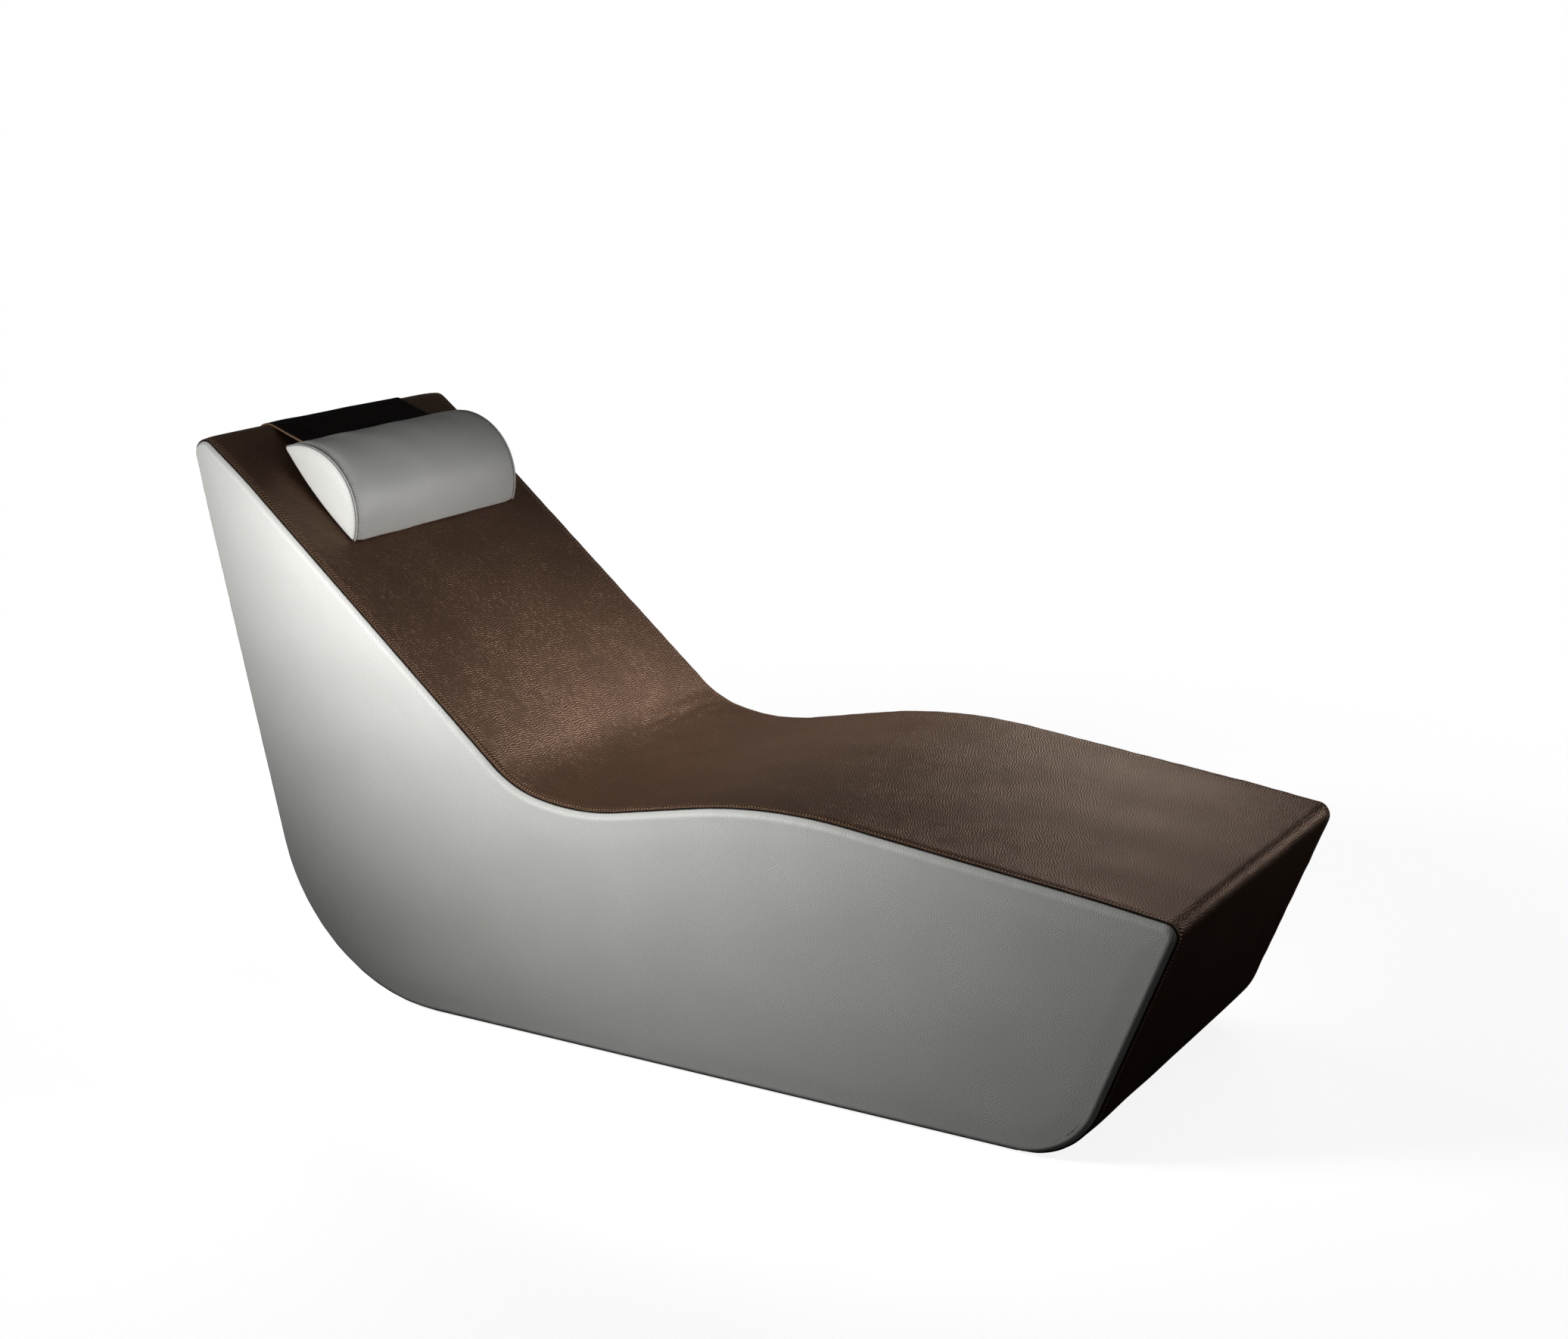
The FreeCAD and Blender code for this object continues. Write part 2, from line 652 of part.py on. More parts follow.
def zip_box(length, width, height, depth, y=0.0):
    """A box along the zip, from depth below the underside outwards. y is its middle."""
    box = Part.makeBox(width, length, height)
    corner = zip_point + zip_in * (depth - height) - zip_along * (width / 2) + Vector(0, y - length / 2, 0)
    box.Placement = FreeCAD.Placement(corner, zip_turn)
    return box


slot = zip_box(size("zip_length") + 2 * gap, size("zip_width") + 2 * gap, 2 * cover, cover + gap / 2)
nodes.append(solid_node("headrest_cover", wrap.cut(slot)))
chain_depth = size("zip_height") + (cover - size("zip_height")) / 2
chain = zip_box(size("zip_length"), size("zip_width"), size("zip_height"), chain_depth)
nodes.append(solid_node("headrest_zip", chain))
slider_y = size("slider_inset") + size("slider_length") / 2 - size("zip_length") / 2
slider = zip_box(size("slider_length"), size("slider_width"), size("slider_height"), -gap, slider_y)
puller_y = slider_y + (size("slider_length") + size("puller_length")) / 2 - size("slider_height")
puller_depth = (size("slider_height") - size("puller_height")) / 2
puller = zip_box(
    size("puller_length"), size("puller_width"), size("puller_height"), -gap - puller_depth, puller_y
)
nodes.append(solid_node("zip_slider", slider.fuse(puller).removeSplitter()))

core = pillow_body(cover + gap)
for side, word in ((-1, "left"), (1, "right")):
    shell = cap_body(0, side).cut(cap_body(cover, side))
    nodes.append(solid_node("headrest_cap_" + word, shell))
    core = core.fuse(cap_body(cover + gap, side))
nodes.append(solid_node("headrest_foam", core.removeSplitter()))

# Strap: from the pillow's upper edge over the crest, and straight down behind

crest_turn = direction(middle_line[HEEL], middle_line[CREST]).getAngle(slope)
crest_way = (slope - direction(middle_line[HEEL], middle_line[CREST])).normalize()
crest_centre = middle_line[CREST] + crest_way * (size("crest_radius") / math.cos(crest_turn / 2))
strap = size("strap")
bend = size("crest_radius") + gap
reach = pillow_edge - crest_centre
reach_angle = math.atan2(reach.z, reach.x)
leave = reach_angle + math.acos((bend + strap / 2) / reach.Length)
strap_low = pillow_y - size("strap_width") / 2
strap_high = pillow_y + size("strap_width") / 2


def round_crest(radius, angle):
    return crest_centre + Vector(math.cos(angle), 0, math.sin(angle)) * radius


front_way = direction(round_crest(bend + strap / 2, leave), pillow_edge)
front_length = (pillow_edge - round_crest(bend + strap / 2, leave)).Length - gap
a, b = round_crest(bend, leave), round_crest(bend + strap, leave)
c, d = b + front_way * front_length, a + front_way * front_length
front = Part.makePolygon([a, b, c, d, a]).Edges
nodes.append(solid_node("strap_front", extruded(front, strap_low, strap_high)))

half_turn = (leave + math.pi) / 2
over = [
    Part.Arc(b, round_crest(bend + strap, half_turn), round_crest(bend + strap, math.pi)).toShape(),
    Part.LineSegment(round_crest(bend + strap, math.pi), round_crest(bend, math.pi)).toShape(),
    Part.Arc(round_crest(bend, math.pi), round_crest(bend, half_turn), a).toShape(),
    Part.LineSegment(a, b).toShape(),
]
nodes.append(solid_node("strap_crest", extruded(over, strap_low, strap_high)))

hang_top = crest_centre.z
hang_x = crest_centre.x - bend
drop = size("strap_drop")
rear = doc.addObject("Part::Box", "strap_rear")
rear.setExpression("Length", "Sizes.strap")
rear.setExpression("Width", "Sizes.strap_width")
rear.setExpression("Height", "Sizes.strap_drop")
rear.Placement.Base = Vector(hang_x - strap, strap_low, hang_top - drop)
nodes.append(rear)

# Weight pouch at the strap's end, with two flat steel bars that balance the pillow

wall = size("pouch_wall")
bar_width = size("bar_width")
bar_height = size("bar_height")
bar_length = size("bar_length")
pouch_top = hang_top - drop
pocket_box = doc.addObject("Part::Box", "pouch_pocket")
pocket_box.Length = bar_width + 2 * gap
pocket_box.Width = 2 * bar_length + 3 * gap
pocket_box.Height = bar_height + 2 * gap
pocket_box.Placement.Base = Vector(
    hang_x - wall - pocket_box.Length.Value,
    pillow_y - pocket_box.Width.Value / 2,
    pouch_top - wall - pocket_box.Height.Value,
)
pouch_box = doc.addObject("Part::Box", "pouch_blank")
pouch_box.Length = pocket_box.Length.Value + 2 * wall
pouch_box.setExpression("Width", "Sizes.strap_width")
pouch_box.Height = pocket_box.Height.Value + 2 * wall
pouch_x = hang_x - pouch_box.Length.Value
pouch_box.Placement.Base = Vector(pouch_x, strap_low, pouch_top - pouch_box.Height.Value)
pouch = doc.addObject("Part::Cut", "weight_pouch")
pouch.Base = pouch_box
pouch.Tool = pocket_box
nodes.append(pouch)
for side, word in ((-1, "left"), (1, "right")):
    bar = doc.addObject("Part::Box", "weight_bar_" + word)
    bar.setExpression("Length", "Sizes.bar_width")
    bar.setExpression("Width", "Sizes.bar_length")
    bar.setExpression("Height", "Sizes.bar_height")
    bar_y = pillow_y + side * (bar_length + gap) / 2 - bar_length / 2
    bar.Placement.Base = Vector(hang_x - wall - gap - bar_width, bar_y, pouch_top - wall - gap - bar_height)
    nodes.append(bar)

doc.recompute()

# Origin: the middle of the floor under the whole piece

seat_cover = doc.getObject("seat_cover")
middle_x = (pouch_x + seat_cover.Shape.optimalBoundingBox(True, False).XMax) / 2
for node in nodes:
    node.Placement = FreeCAD.Placement(Vector(-middle_x, 0, 0), FreeCAD.Rotation()) * node.Placement
doc.recompute()

for thing in doc.Objects:
    if "Invalid" in thing.State or "Error" in thing.State:
        raise RuntimeError(thing.Name + " did not build")
os.makedirs("parts", exist_ok=True)
for node in nodes:
    shape = node.Shape
    if shape.isNull() or not shape.isValid():
        raise RuntimeError(node.Label + " has a bad shape")
    shape.exportStep(os.path.join("parts", node.Label + ".step"))
    print(node.Label, len(shape.Solids), round(shape.Volume))
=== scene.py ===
import bpy
import json
import math
import numpy as np
from mathutils import Matrix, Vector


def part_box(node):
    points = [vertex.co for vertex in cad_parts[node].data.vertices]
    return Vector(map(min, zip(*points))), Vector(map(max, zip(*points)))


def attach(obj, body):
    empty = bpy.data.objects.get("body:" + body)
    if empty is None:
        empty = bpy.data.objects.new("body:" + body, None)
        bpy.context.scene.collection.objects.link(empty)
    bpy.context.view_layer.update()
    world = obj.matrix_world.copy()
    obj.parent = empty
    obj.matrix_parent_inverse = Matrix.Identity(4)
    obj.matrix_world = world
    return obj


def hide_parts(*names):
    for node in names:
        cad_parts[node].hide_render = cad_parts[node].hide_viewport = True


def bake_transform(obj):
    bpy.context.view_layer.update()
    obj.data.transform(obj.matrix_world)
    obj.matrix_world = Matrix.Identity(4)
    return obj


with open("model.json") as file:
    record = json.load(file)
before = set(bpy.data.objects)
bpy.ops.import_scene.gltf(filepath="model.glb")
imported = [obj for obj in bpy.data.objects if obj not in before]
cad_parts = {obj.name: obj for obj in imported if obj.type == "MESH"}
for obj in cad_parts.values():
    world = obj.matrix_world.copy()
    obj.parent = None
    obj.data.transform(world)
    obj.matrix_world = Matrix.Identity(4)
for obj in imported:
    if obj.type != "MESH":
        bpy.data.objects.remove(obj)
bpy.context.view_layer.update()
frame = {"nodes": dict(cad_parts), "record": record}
mm = 0.001

# small helpers


def linear(hexColour):
    # sRGB hex to linear light, channel by channel
    shares = [int(hexColour[i:i + 2], 16) / 255 for i in (1, 3, 5)]
    return [c / 12.92 if c <= 0.04045 else ((c + 0.055) / 1.055) ** 2.4 for c in shares] + [1]


def emptyTree(owner):
    # the cleared node tree of a new material or world
    owner.use_nodes = True
    owner.node_tree.nodes.clear()
    return owner.node_tree


def addNode(tree, kind, inputs=None, **settings):
    # one shader node: settings are its properties, inputs its values or the nodes that feed it
    node = tree.nodes.new("ShaderNode" + kind)
    for name, value in settings.items():
        setattr(node, name, value)
    for socket, value in (inputs or {}).items():
        if isinstance(value, bpy.types.Node):
            value = value.outputs[0]
        if isinstance(value, bpy.types.NodeSocket):
            tree.links.new(value, node.inputs[socket])
        else:
            node.inputs[socket].default_value = value
    return node


def addObject(name, data):
    # a new object in the scene, for a mesh, a lamp or a camera
    thing = bpy.data.objects.new(name, data)
    bpy.context.scene.collection.objects.link(thing)
    return thing


def smooth(low, high, x):
    # 0 below low, 1 above high, and 3t^2 - 2t^3 between them
    t = np.clip((x - low) / (high - low), 0, 1)
    return t * t * (3 - 2 * t)


def bell(x, width):
    # exp(-(x / width)^2), which is 1 at x = 0
    return np.exp(-(x / width) ** 2)


def ripple(x, waves, seed):
    # a sum of sines of the given wavelengths, with seeded phases, about 1 high
    phases = np.random.default_rng(seed).uniform(0, 2 * np.pi, len(waves))
    return sum(np.sin(2 * np.pi * x / w + p) for w, p in zip(waves, phases)) / len(waves) ** 0.5


def swell(x, y, reach, seed):
    # slow unevenness over a surface: a sum of nine seeded plane waves, each about reach long
    count, turns, spread = 9, (0, 6.28), (0.7, 1.6)
    random = np.random.default_rng(seed)
    total = 0
    for turn, start, size in zip(*(random.uniform(*span, count) for span in (turns, turns, spread))):
        total = total + np.sin(2 * np.pi * (x * np.cos(turn) + y * np.sin(turn)) / (reach * size) + start)
    return total / count ** 0.5


def lengthAlong(points):
    # how far along a row of points each one lies
    return np.concatenate([[0], np.cumsum(np.linalg.norm(np.diff(points, axis=0), axis=1))])


def unit(way):
    # the same direction, 1 long
    return way / np.linalg.norm(way)


# surfaces and pieces


def gridFaces(rows, columns, wrapRows=False, wrapColumns=False):
    # the quads of a grid of points, row after row
    i, j = np.meshgrid(np.arange(rows - (not wrapRows)), np.arange(columns - (not wrapColumns)),
                       indexing="ij")
    i2, j2 = (i + 1) % rows, (j + 1) % columns
    quads = [i * columns + j, i * columns + j2, i2 * columns + j2, i2 * columns + j]
    return np.stack(quads, -1).reshape(-1, 4)


def makePiece(name, points, faces, materials, body=None, skin=None, faceMaterial=None, flip=False,
              caps=(), smoothCaps=False, hides=()):
    # A mesh piece that rides a body. caps are extra faces that close it, flat ones unless smoothCaps. skin is
    # its UV map, in metres along the hide, one pair for each point. It hides the solids that it stands for.
    mesh = bpy.data.meshes.new(name)
    points = np.asarray(points, float).reshape(-1, 3)
    polygons = [list(face)[::-1] if flip else list(face) for face in [*faces.tolist(), *map(list, caps)]]
    mesh.from_pydata(points.tolist(), [], polygons)
    if skin is not None:
        corners = np.zeros(len(mesh.loops), np.int32)
        mesh.loops.foreach_get("vertex_index", corners)
        layer = mesh.uv_layers.new(name="skin")
        layer.data.foreach_set("uv", np.asarray(skin, np.float32).reshape(-1, 2)[corners].ravel())
    for material in materials:
        mesh.materials.append(material)
    if faceMaterial is not None:
        padding = np.zeros(len(polygons) - len(faceMaterial), np.int32)
        mesh.polygons.foreach_set("material_index", np.concatenate([faceMaterial, padding]).astype(np.int32))
    mesh.polygons.foreach_set("use_smooth", (np.arange(len(polygons)) < len(faces)) | smoothCaps)
    mesh.update()
    piece = addObject(name, mesh)
    if body:
        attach(piece, body)
    if hides:
        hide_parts(*hides)
    return piece


# the body's side outline

lounger = {
    # each corner: x from the back, z from the underside, radius of its rounding
    "corners": {
        "heel": (0.184, 0.0, 0.346), "crest": (-0.027, 1.065, 0.027), "lumbar": (0.680, 0.450, 0.200),
        "seat": (0.8177, 0.4233, 0.450), "knee": (1.202, 0.4955, 1.000), "toe": (1.9137, 0.415, 0.020),
        "foot": (1.746, 0.0, 0.150),
    },
    # how far the middle of the width stands proud of the seams
    "crowns": {
        "heel": 3 * mm, "crest": 1.5 * mm, "lumbar": 6 * mm, "seat": 8 * mm, "knee": 8 * mm, "toe": 1.5 * mm,
        "foot": 3 * mm,
    },
    # The sewn cover beside its seams, in mm: how far the seam stands outside the outline, how far the
    # shoulder rises behind the stitches, and how much fuller than its crown the middle is. nape, back and
    # leg lie aside from the crest and the toe.
    "seams": {
        "heel": (0, 1.0, 0), "nape": (0, 1.0, 0), "crest": (-3.0, 1.5, 0), "back": (3.0, 4.0, 0),
        "lumbar": (3.7, 4.8, 1.2), "seat": (2.8, 4.8, 1.4), "knee": (4.2, 4.4, 1.4), "leg": (4.2, 3.2, 1.2),
        "toe": (1.5, 1.5, 0), "foot": (0, 1.0, 0),
    },
    "aside": 150 * mm,
    "underside": 6 * mm,
    "seamY": 322.5 * mm,  # from the middle out to each side seam
    "crestLap": 125 * mm,  # from the crest's corner down to the seat cover's low end behind
    "softGap": 0.3 * mm,  # between soft pieces that lie on one another
    "proud": 1 * mm,  # how proud the strip is where it counts as bulging
}


def roundedPath(corners):
    # straight runs joined by tangent arcs; an arc starts radius * tan(turn / 2) before its corner
    points, radii = corners[:, :2], corners[:, 2]
    runs = np.roll(points, -1, 0) - points
    lengths = np.linalg.norm(runs, axis=1)
    ways = runs / lengths[:, None]
    before = np.roll(ways, 1, 0)
    turns = np.arctan2(before[:, 0] * ways[:, 1] - before[:, 1] * ways[:, 0], (before * ways).sum(1))
    tangents = radii * np.tan(abs(turns) / 2)
    spans, s = [], 0.0
    for i in range(len(points)):
        side = np.sign(turns[i])
        start = points[i] - before[i] * tangents[i]
        centre = start + np.array([-before[i][1], before[i][0]]) * side * radii[i]
        angle = math.atan2(*(start - centre)[::-1])
        spans.append({"s": s, "centre": centre, "radius": radii[i], "side": side, "angle": angle})
        s += radii[i] * abs(turns[i])
        spans.append({"s": s, "point": points[i] + ways[i] * tangents[i], "way": ways[i]})
        s += lengths[i] - tangents[i] - tangents[(i + 1) % len(points)]
    return spans, s


def pathAt(spans, s):
    # points and outward normals at lengths s along the path
    s = np.asarray(s, float)
    starts = np.array([span["s"] for span in spans])
    which = np.clip(np.searchsorted(starts, s, side="right") - 1, 0, len(spans) - 1)
    points, normals = np.zeros((len(s), 2)), np.zeros((len(s), 2))
    for k, span in enumerate(spans):
        here = which == k
        t = s[here] - span["s"]
        if "centre" in span:
            a = span["angle"] + span["side"] * t / span["radius"]
            arm = np.stack([np.cos(a), np.sin(a)], -1)
            points[here] = span["centre"] + span["radius"] * arm
            normals[here] = -span["side"] * arm
        else:
            points[here] = span["point"] + t[:, None] * span["way"]
            normals[here] = [-span["way"][1], span["way"][0]]
    return points, normals


names = list(lounger["corners"])
corners = np.array([lounger["corners"][n] for n in names])
corners[:, 1] += lounger["underside"]
spans, outlineLength = roundedPath(corners)
heelEnd = pathAt(spans, [0.0])[0][0]
corners[:, 0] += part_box("dust_cover")[0].x - lounger["softGap"] - heelEnd[0]
spans, outlineLength = roundedPath(corners)
arcStart = {n: spans[2 * i]["s"] for i, n in enumerate(names)}
arcEnd = {n: spans[2 * i + 1]["s"] for i, n in enumerate(names)}
arcMiddle = {n: (arcStart[n] + arcEnd[n]) / 2 for n in names}
flatStart = arcEnd["foot"]
rearRun = spans[2 * names.index("heel") + 1]
crestCorner = corners[names.index("crest"), :2]
lapPoint = rearRun["s"] + (crestCorner - rearRun["point"]) @ rearRun["way"] - lounger["crestLap"]


def crownAt(s):
    # how proud the middle stands: straight changes from corner to corner, nothing at the floor
    between = [arcMiddle[n] for n in names if n not in ("heel", "foot")]
    stations = [0, arcEnd["heel"], *between, arcStart["foot"], flatStart]
    return np.interp(s, stations, [0, *(lounger["crowns"][n] for n in names), 0])


def seamAt(s):
    # lift, shoulder and fullness at lengths s, with smooth changes from station to station
    places = {**arcMiddle, "heel": arcEnd["heel"], "nape": arcMiddle["crest"] - lounger["aside"],
              "back": arcMiddle["crest"] + lounger["aside"], "leg": arcMiddle["toe"] - lounger["aside"],
              "foot": arcStart["foot"]}
    stations = np.array([places[n] for n in lounger["seams"]])
    values = np.array(list(lounger["seams"].values())) * mm
    k = np.clip(np.searchsorted(stations, s, side="right") - 1, 0, len(stations) - 2)
    t = smooth(0, 1, (s - stations[k]) / (stations[k + 1] - stations[k]))
    return np.moveaxis(values[k] + (values[k + 1] - values[k]) * t[..., None], -1, 0)


def offFloor(s):
    # 1 where the strip bulges, 0 where it meets the floor line
    return smooth(0, lounger["proud"], crownAt(s))


# materials: leathers

# what all the hides share: noise values from the first to the second number of a span give the whole change
hide = {
    "wrinkleSpan": (0.3, 0.7), "turnSpan": (0.25, 0.75), "patchSpan": (0.35, 0.65), "holeSpan": (-0.2, -0.9),
    "deepest": 0.8, "dullHollows": 0.12, "ior": 1.5,
}


def leather(name, look):
    # Pigmented upholstery leather with a wrinkled grain. Short wrinkles flow over the hide: a Gabor pattern
    # with look["waves"] waves to a cell, whose direction a slow noise turns and whose strength goes by
    # patches. Over them come fine pores. The wrinkles' hollows get a darker colour as painted shade. The UV
    # map "skin" is in metres, its first number the distance from the middle of the piece: beside a
    # topstitched edge lie needle holes between the stitches, darkened as painted shade, and slanted folds
    # behind them, whose crests are lightened as a painted highlight.
    material = bpy.data.materials.new(name)
    tree = emptyTree(material)
    skin = addNode(tree, "UVMap", uv_map="skin")
    split = addNode(tree, "SeparateXYZ", {"Vector": skin})
    wander, slow, fine, patches = (
        addNode(tree, "TexNoise", {"Vector": skin, "Scale": 1 / look[size], "Detail": detail},
                noise_dimensions="2D")
        for size, detail in (("wander", 2.0), ("turnReach", 1.0), ("fine", 2.0), ("patch", 4.0)))
    centred = addNode(tree, "VectorMath", {0: wander.outputs["Color"], 1: (0.5, 0.5, 0.5)},
                      operation="SUBTRACT")
    bent = addNode(tree, "VectorMath", {0: centred, 1: [look["bend"]] * 3, 2: skin}, operation="MULTIPLY_ADD")
    turning = addNode(tree, "MapRange", {
        "Value": slow, "From Min": hide["turnSpan"][0], "From Max": hide["turnSpan"][1],
        "To Min": look["turn"] - look["swing"] / 2, "To Max": look["turn"] + look["swing"] / 2})
    low, high, change = look["drift"]
    drift = addNode(tree, "MapRange", {"Value": split.outputs["Y"], "From Min": low, "From Max": high,
                                       "To Max": change})
    flow = addNode(tree, "Math", {0: turning, 1: drift}, operation="ADD")
    wrinkles = addNode(tree, "TexGabor", {
        "Vector": bent, "Scale": 1 / look["cell"], "Frequency": look["waves"], "Anisotropy": look["order"],
        "Orientation 2D": flow}, gabor_type="2D")
    ridges = addNode(tree, "MapRange", {"Value": wrinkles, "From Min": hide["wrinkleSpan"][0],
                                        "From Max": hide["wrinkleSpan"][1]}, interpolation_type="SMOOTHSTEP")
    strength = addNode(tree, "MapRange", {"Value": patches, "From Min": hide["patchSpan"][0],
                                          "From Max": hide["patchSpan"][1], "To Min": look["faint"]})
    relief = addNode(tree, "Math", {0: ridges, 1: strength}, operation="MULTIPLY")
    height = addNode(tree, "Math", {0: fine, 1: look["fineShare"], 2: relief}, operation="MULTIPLY_ADD")
    # painted shade: the wrinkles' hollows are mixed toward the darker crease colour
    hollow = addNode(tree, "MapRange", {"Value": relief, "From Max": hide["deepest"],
                                        "To Min": look["hollow"], "To Max": 0.0})
    gloss = addNode(tree, "MapRange", {"Value": relief, "From Max": hide["deepest"],
                                       "To Min": look["roughness"] + hide["dullHollows"],
                                       "To Max": look["roughness"]})
    tone = addNode(tree, "Mix", {0: patches, 6: linear(look["dark"]), 7: linear(look["colour"])},
                   data_type="RGBA")
    colour = addNode(tree, "Mix", {0: hollow, 6: tone.outputs[2], 7: linear(look["creaseShadeColour"])},
                     data_type="RGBA")
    if "pitch" in look:
        side = addNode(tree, "Math", {0: split.outputs["X"]}, operation="ABSOLUTE")
        inside = addNode(tree, "Math", {0: look["edge"], 1: side}, operation="SUBTRACT")
        phase = addNode(tree, "Math", {0: split.outputs["Y"], 1: 2 * math.pi / look["pitch"]},
                        operation="MULTIPLY")
        bells = []  # exp(-((inside - at) / width)^2)
        for at, width in ((look["foldsAt"], look["foldsWidth"]), (look["stitchAt"], look["holeWidth"])):
            off = addNode(tree, "Math", {0: inside, 1: at}, operation="SUBTRACT")
            share = addNode(tree, "Math", {0: off, 1: 1 / width}, operation="MULTIPLY")
            squared = addNode(tree, "Math", {0: share, 1: share}, operation="MULTIPLY")
            minus = addNode(tree, "Math", {0: squared, 1: -1.0}, operation="MULTIPLY")
            bells.append(addNode(tree, "Math", {0: minus}, operation="EXPONENT"))
        slanted = addNode(tree, "Math", {0: inside, 1: look["slant"], 2: phase}, operation="MULTIPLY_ADD")
        wave = addNode(tree, "Math", {0: slanted}, operation="SINE")
        folds = addNode(tree, "Math", {0: wave, 1: bells[0]}, operation="MULTIPLY")
        turned = addNode(tree, "Math", {0: phase}, operation="COSINE")
        between = addNode(tree, "MapRange", {
            "Value": turned, "From Min": hide["holeSpan"][0], "From Max": hide["holeSpan"][1]},
            interpolation_type="SMOOTHSTEP")
        # needle holes: below, their mask also mixes in a dark colour, painted shade in the holes
        holes = addNode(tree, "Math", {0: between, 1: bells[1]}, operation="MULTIPLY")
        # the crests of the slanted folds are mixed toward a lighter colour: a painted highlight
        for amount, rise, share, tint in ((folds, look["foldsShare"], look["foldHighlightShare"], look["foldHighlightColour"]),
                                          (holes, -look["holeShare"], look["holeShadeShare"], look["holeShadeColour"])):
            height = addNode(tree, "Math", {0: amount, 1: rise, 2: height}, operation="MULTIPLY_ADD")
            tinted = addNode(tree, "Math", {0: amount, 1: share}, operation="MULTIPLY", use_clamp=True)
            colour = addNode(tree, "Mix", {0: tinted, 6: colour.outputs[2], 7: linear(tint)},
                             data_type="RGBA")
    bump = addNode(tree, "Bump", {"Height": height, "Strength": 1.0, "Distance": look["depth"]})
    shader = addNode(tree, "BsdfPrincipled", {
        "Base Color": colour.outputs[2], "Roughness": gloss, "Normal": bump, "IOR": hide["ior"],
        "Metallic": look["metallic"], "Specular IOR Level": look["specular"],
        "Specular Tint": linear(look["shine"])})
    addNode(tree, "OutputMaterial", {"Surface": shader})
    return material


def plain(name, colour, roughness, metallic=0.0, grain=2 * mm, depth=0.1 * mm, specular=0.5):
    # a material with one colour that varies a little with a noise of the given grain size
    darkShare, uneven = 0.85, 0.08
    material = bpy.data.materials.new(name)
    tree = emptyTree(material)
    place = addNode(tree, "TexCoord")
    speck = addNode(tree, "TexNoise", {"Vector": place.outputs["Object"], "Scale": 1 / grain, "Detail": 3.0})
    dark = [c * darkShare for c in linear(colour)[:3]] + [1]
    mixed = addNode(tree, "Mix", {0: speck, 6: dark, 7: linear(colour)}, data_type="RGBA")
    rough = addNode(tree, "MapRange", {"Value": speck, "To Min": roughness - uneven,
                                       "To Max": roughness + uneven})
    bump = addNode(tree, "Bump", {"Height": speck, "Strength": 0.5, "Distance": depth})
    shader = addNode(tree, "BsdfPrincipled", {"Base Color": mixed.outputs[2], "Roughness": rough,
                                              "Metallic": metallic, "Normal": bump,
                                              "Specular IOR Level": specular})
    addNode(tree, "OutputMaterial", {"Surface": shader})
    return material


def timber(name, light, dark, across, ring):
    # sawn wood or plywood: streaks ring apart across the grain, drawn out along it
    roughness, waver, streakSpan, bumpDepth = 0.65, 0.4, (0.35, 0.65), 0.2 * mm
    material = bpy.data.materials.new(name)
    tree = emptyTree(material)
    place = addNode(tree, "TexCoord")
    drawn = addNode(tree, "Mapping", {"Vector": place.outputs["Object"], "Scale": across})
    streaks = addNode(tree, "TexNoise", {"Vector": drawn, "Scale": 1 / ring, "Detail": 4.0,
                                         "Distortion": waver})
    band = addNode(tree, "MapRange", {"Value": streaks, "From Min": streakSpan[0], "From Max": streakSpan[1]})
    colour = addNode(tree, "Mix", {0: band, 6: linear(dark), 7: linear(light)}, data_type="RGBA")
    bump = addNode(tree, "Bump", {"Height": streaks, "Strength": 0.4, "Distance": bumpDepth})
    shader = addNode(tree, "BsdfPrincipled", {"Base Color": colour.outputs[2], "Roughness": roughness,
                                              "Normal": bump})
    addNode(tree, "OutputMaterial", {"Surface": shader})
    return material


# Wrinkles lie cell / waves apart, 4 to 5 mm on the brown strip, where they run across it, and about 4 mm on
# the white sides, where they stand upright.
brownLook = {
    # half metallic, because this satin finish reflects in the hide's own brown
    "colour": "#654B3A", "dark": "#594133", "creaseShadeColour": "#2A1D15", "hollow": 0.4, "roughness": 0.42,
    "metallic": 0.5, "specular": 0.5, "shine": "#FFE7D2", "wander": 60 * mm, "bend": 4 * mm,
    "turnReach": 45 * mm, "turn": math.pi / 2 + 0.25, "swing": 0.9, "cell": 9.5 * mm, "waves": 2.0,
    "order": 0.76, "fine": 1.6 * mm, "fineShare": 0.06, "patch": 120 * mm, "faint": 0.7, "depth": 0.5 * mm,
    "drift": (arcMiddle["lumbar"], arcMiddle["knee"], -0.6),  # how the flow turns from the back to the leg
    # the topstitched hem, distances from the edge
    "edge": lounger["seamY"], "pitch": 6 * mm, "stitchAt": 6 * mm, "holeWidth": 0.9 * mm, "holeShare": 1.6,
    "holeShadeShare": 1.6, "holeShadeColour": "#120B07", "foldsAt": 10 * mm, "foldsWidth": 4.5 * mm, "foldsShare": 1.8,
    "slant": -450, "foldHighlightShare": 0.45, "foldHighlightColour": "#B8957A",
}
whiteLook = {
    # a soft sheen, with wrinkles that show mostly where light rakes over them, and faintly everywhere through
    # their painted crease shade
    "colour": "#E3E3DF", "dark": "#DCDCD8", "creaseShadeColour": "#A8A8A2", "hollow": 0.18, "roughness": 0.42,
    "metallic": 0.0, "specular": 0.4, "shine": "#FFFFFF", "wander": 60 * mm, "bend": 5 * mm,
    "turnReach": 70 * mm, "turn": 0.1, "swing": 1.8, "cell": 6 * mm, "waves": 1.6, "order": 0.5,
    "fine": 1.6 * mm, "fineShare": 0.05, "patch": 130 * mm, "faint": 0.65, "depth": 0.27 * mm,
    "drift": (0.0, 1.0, 0.0),
}
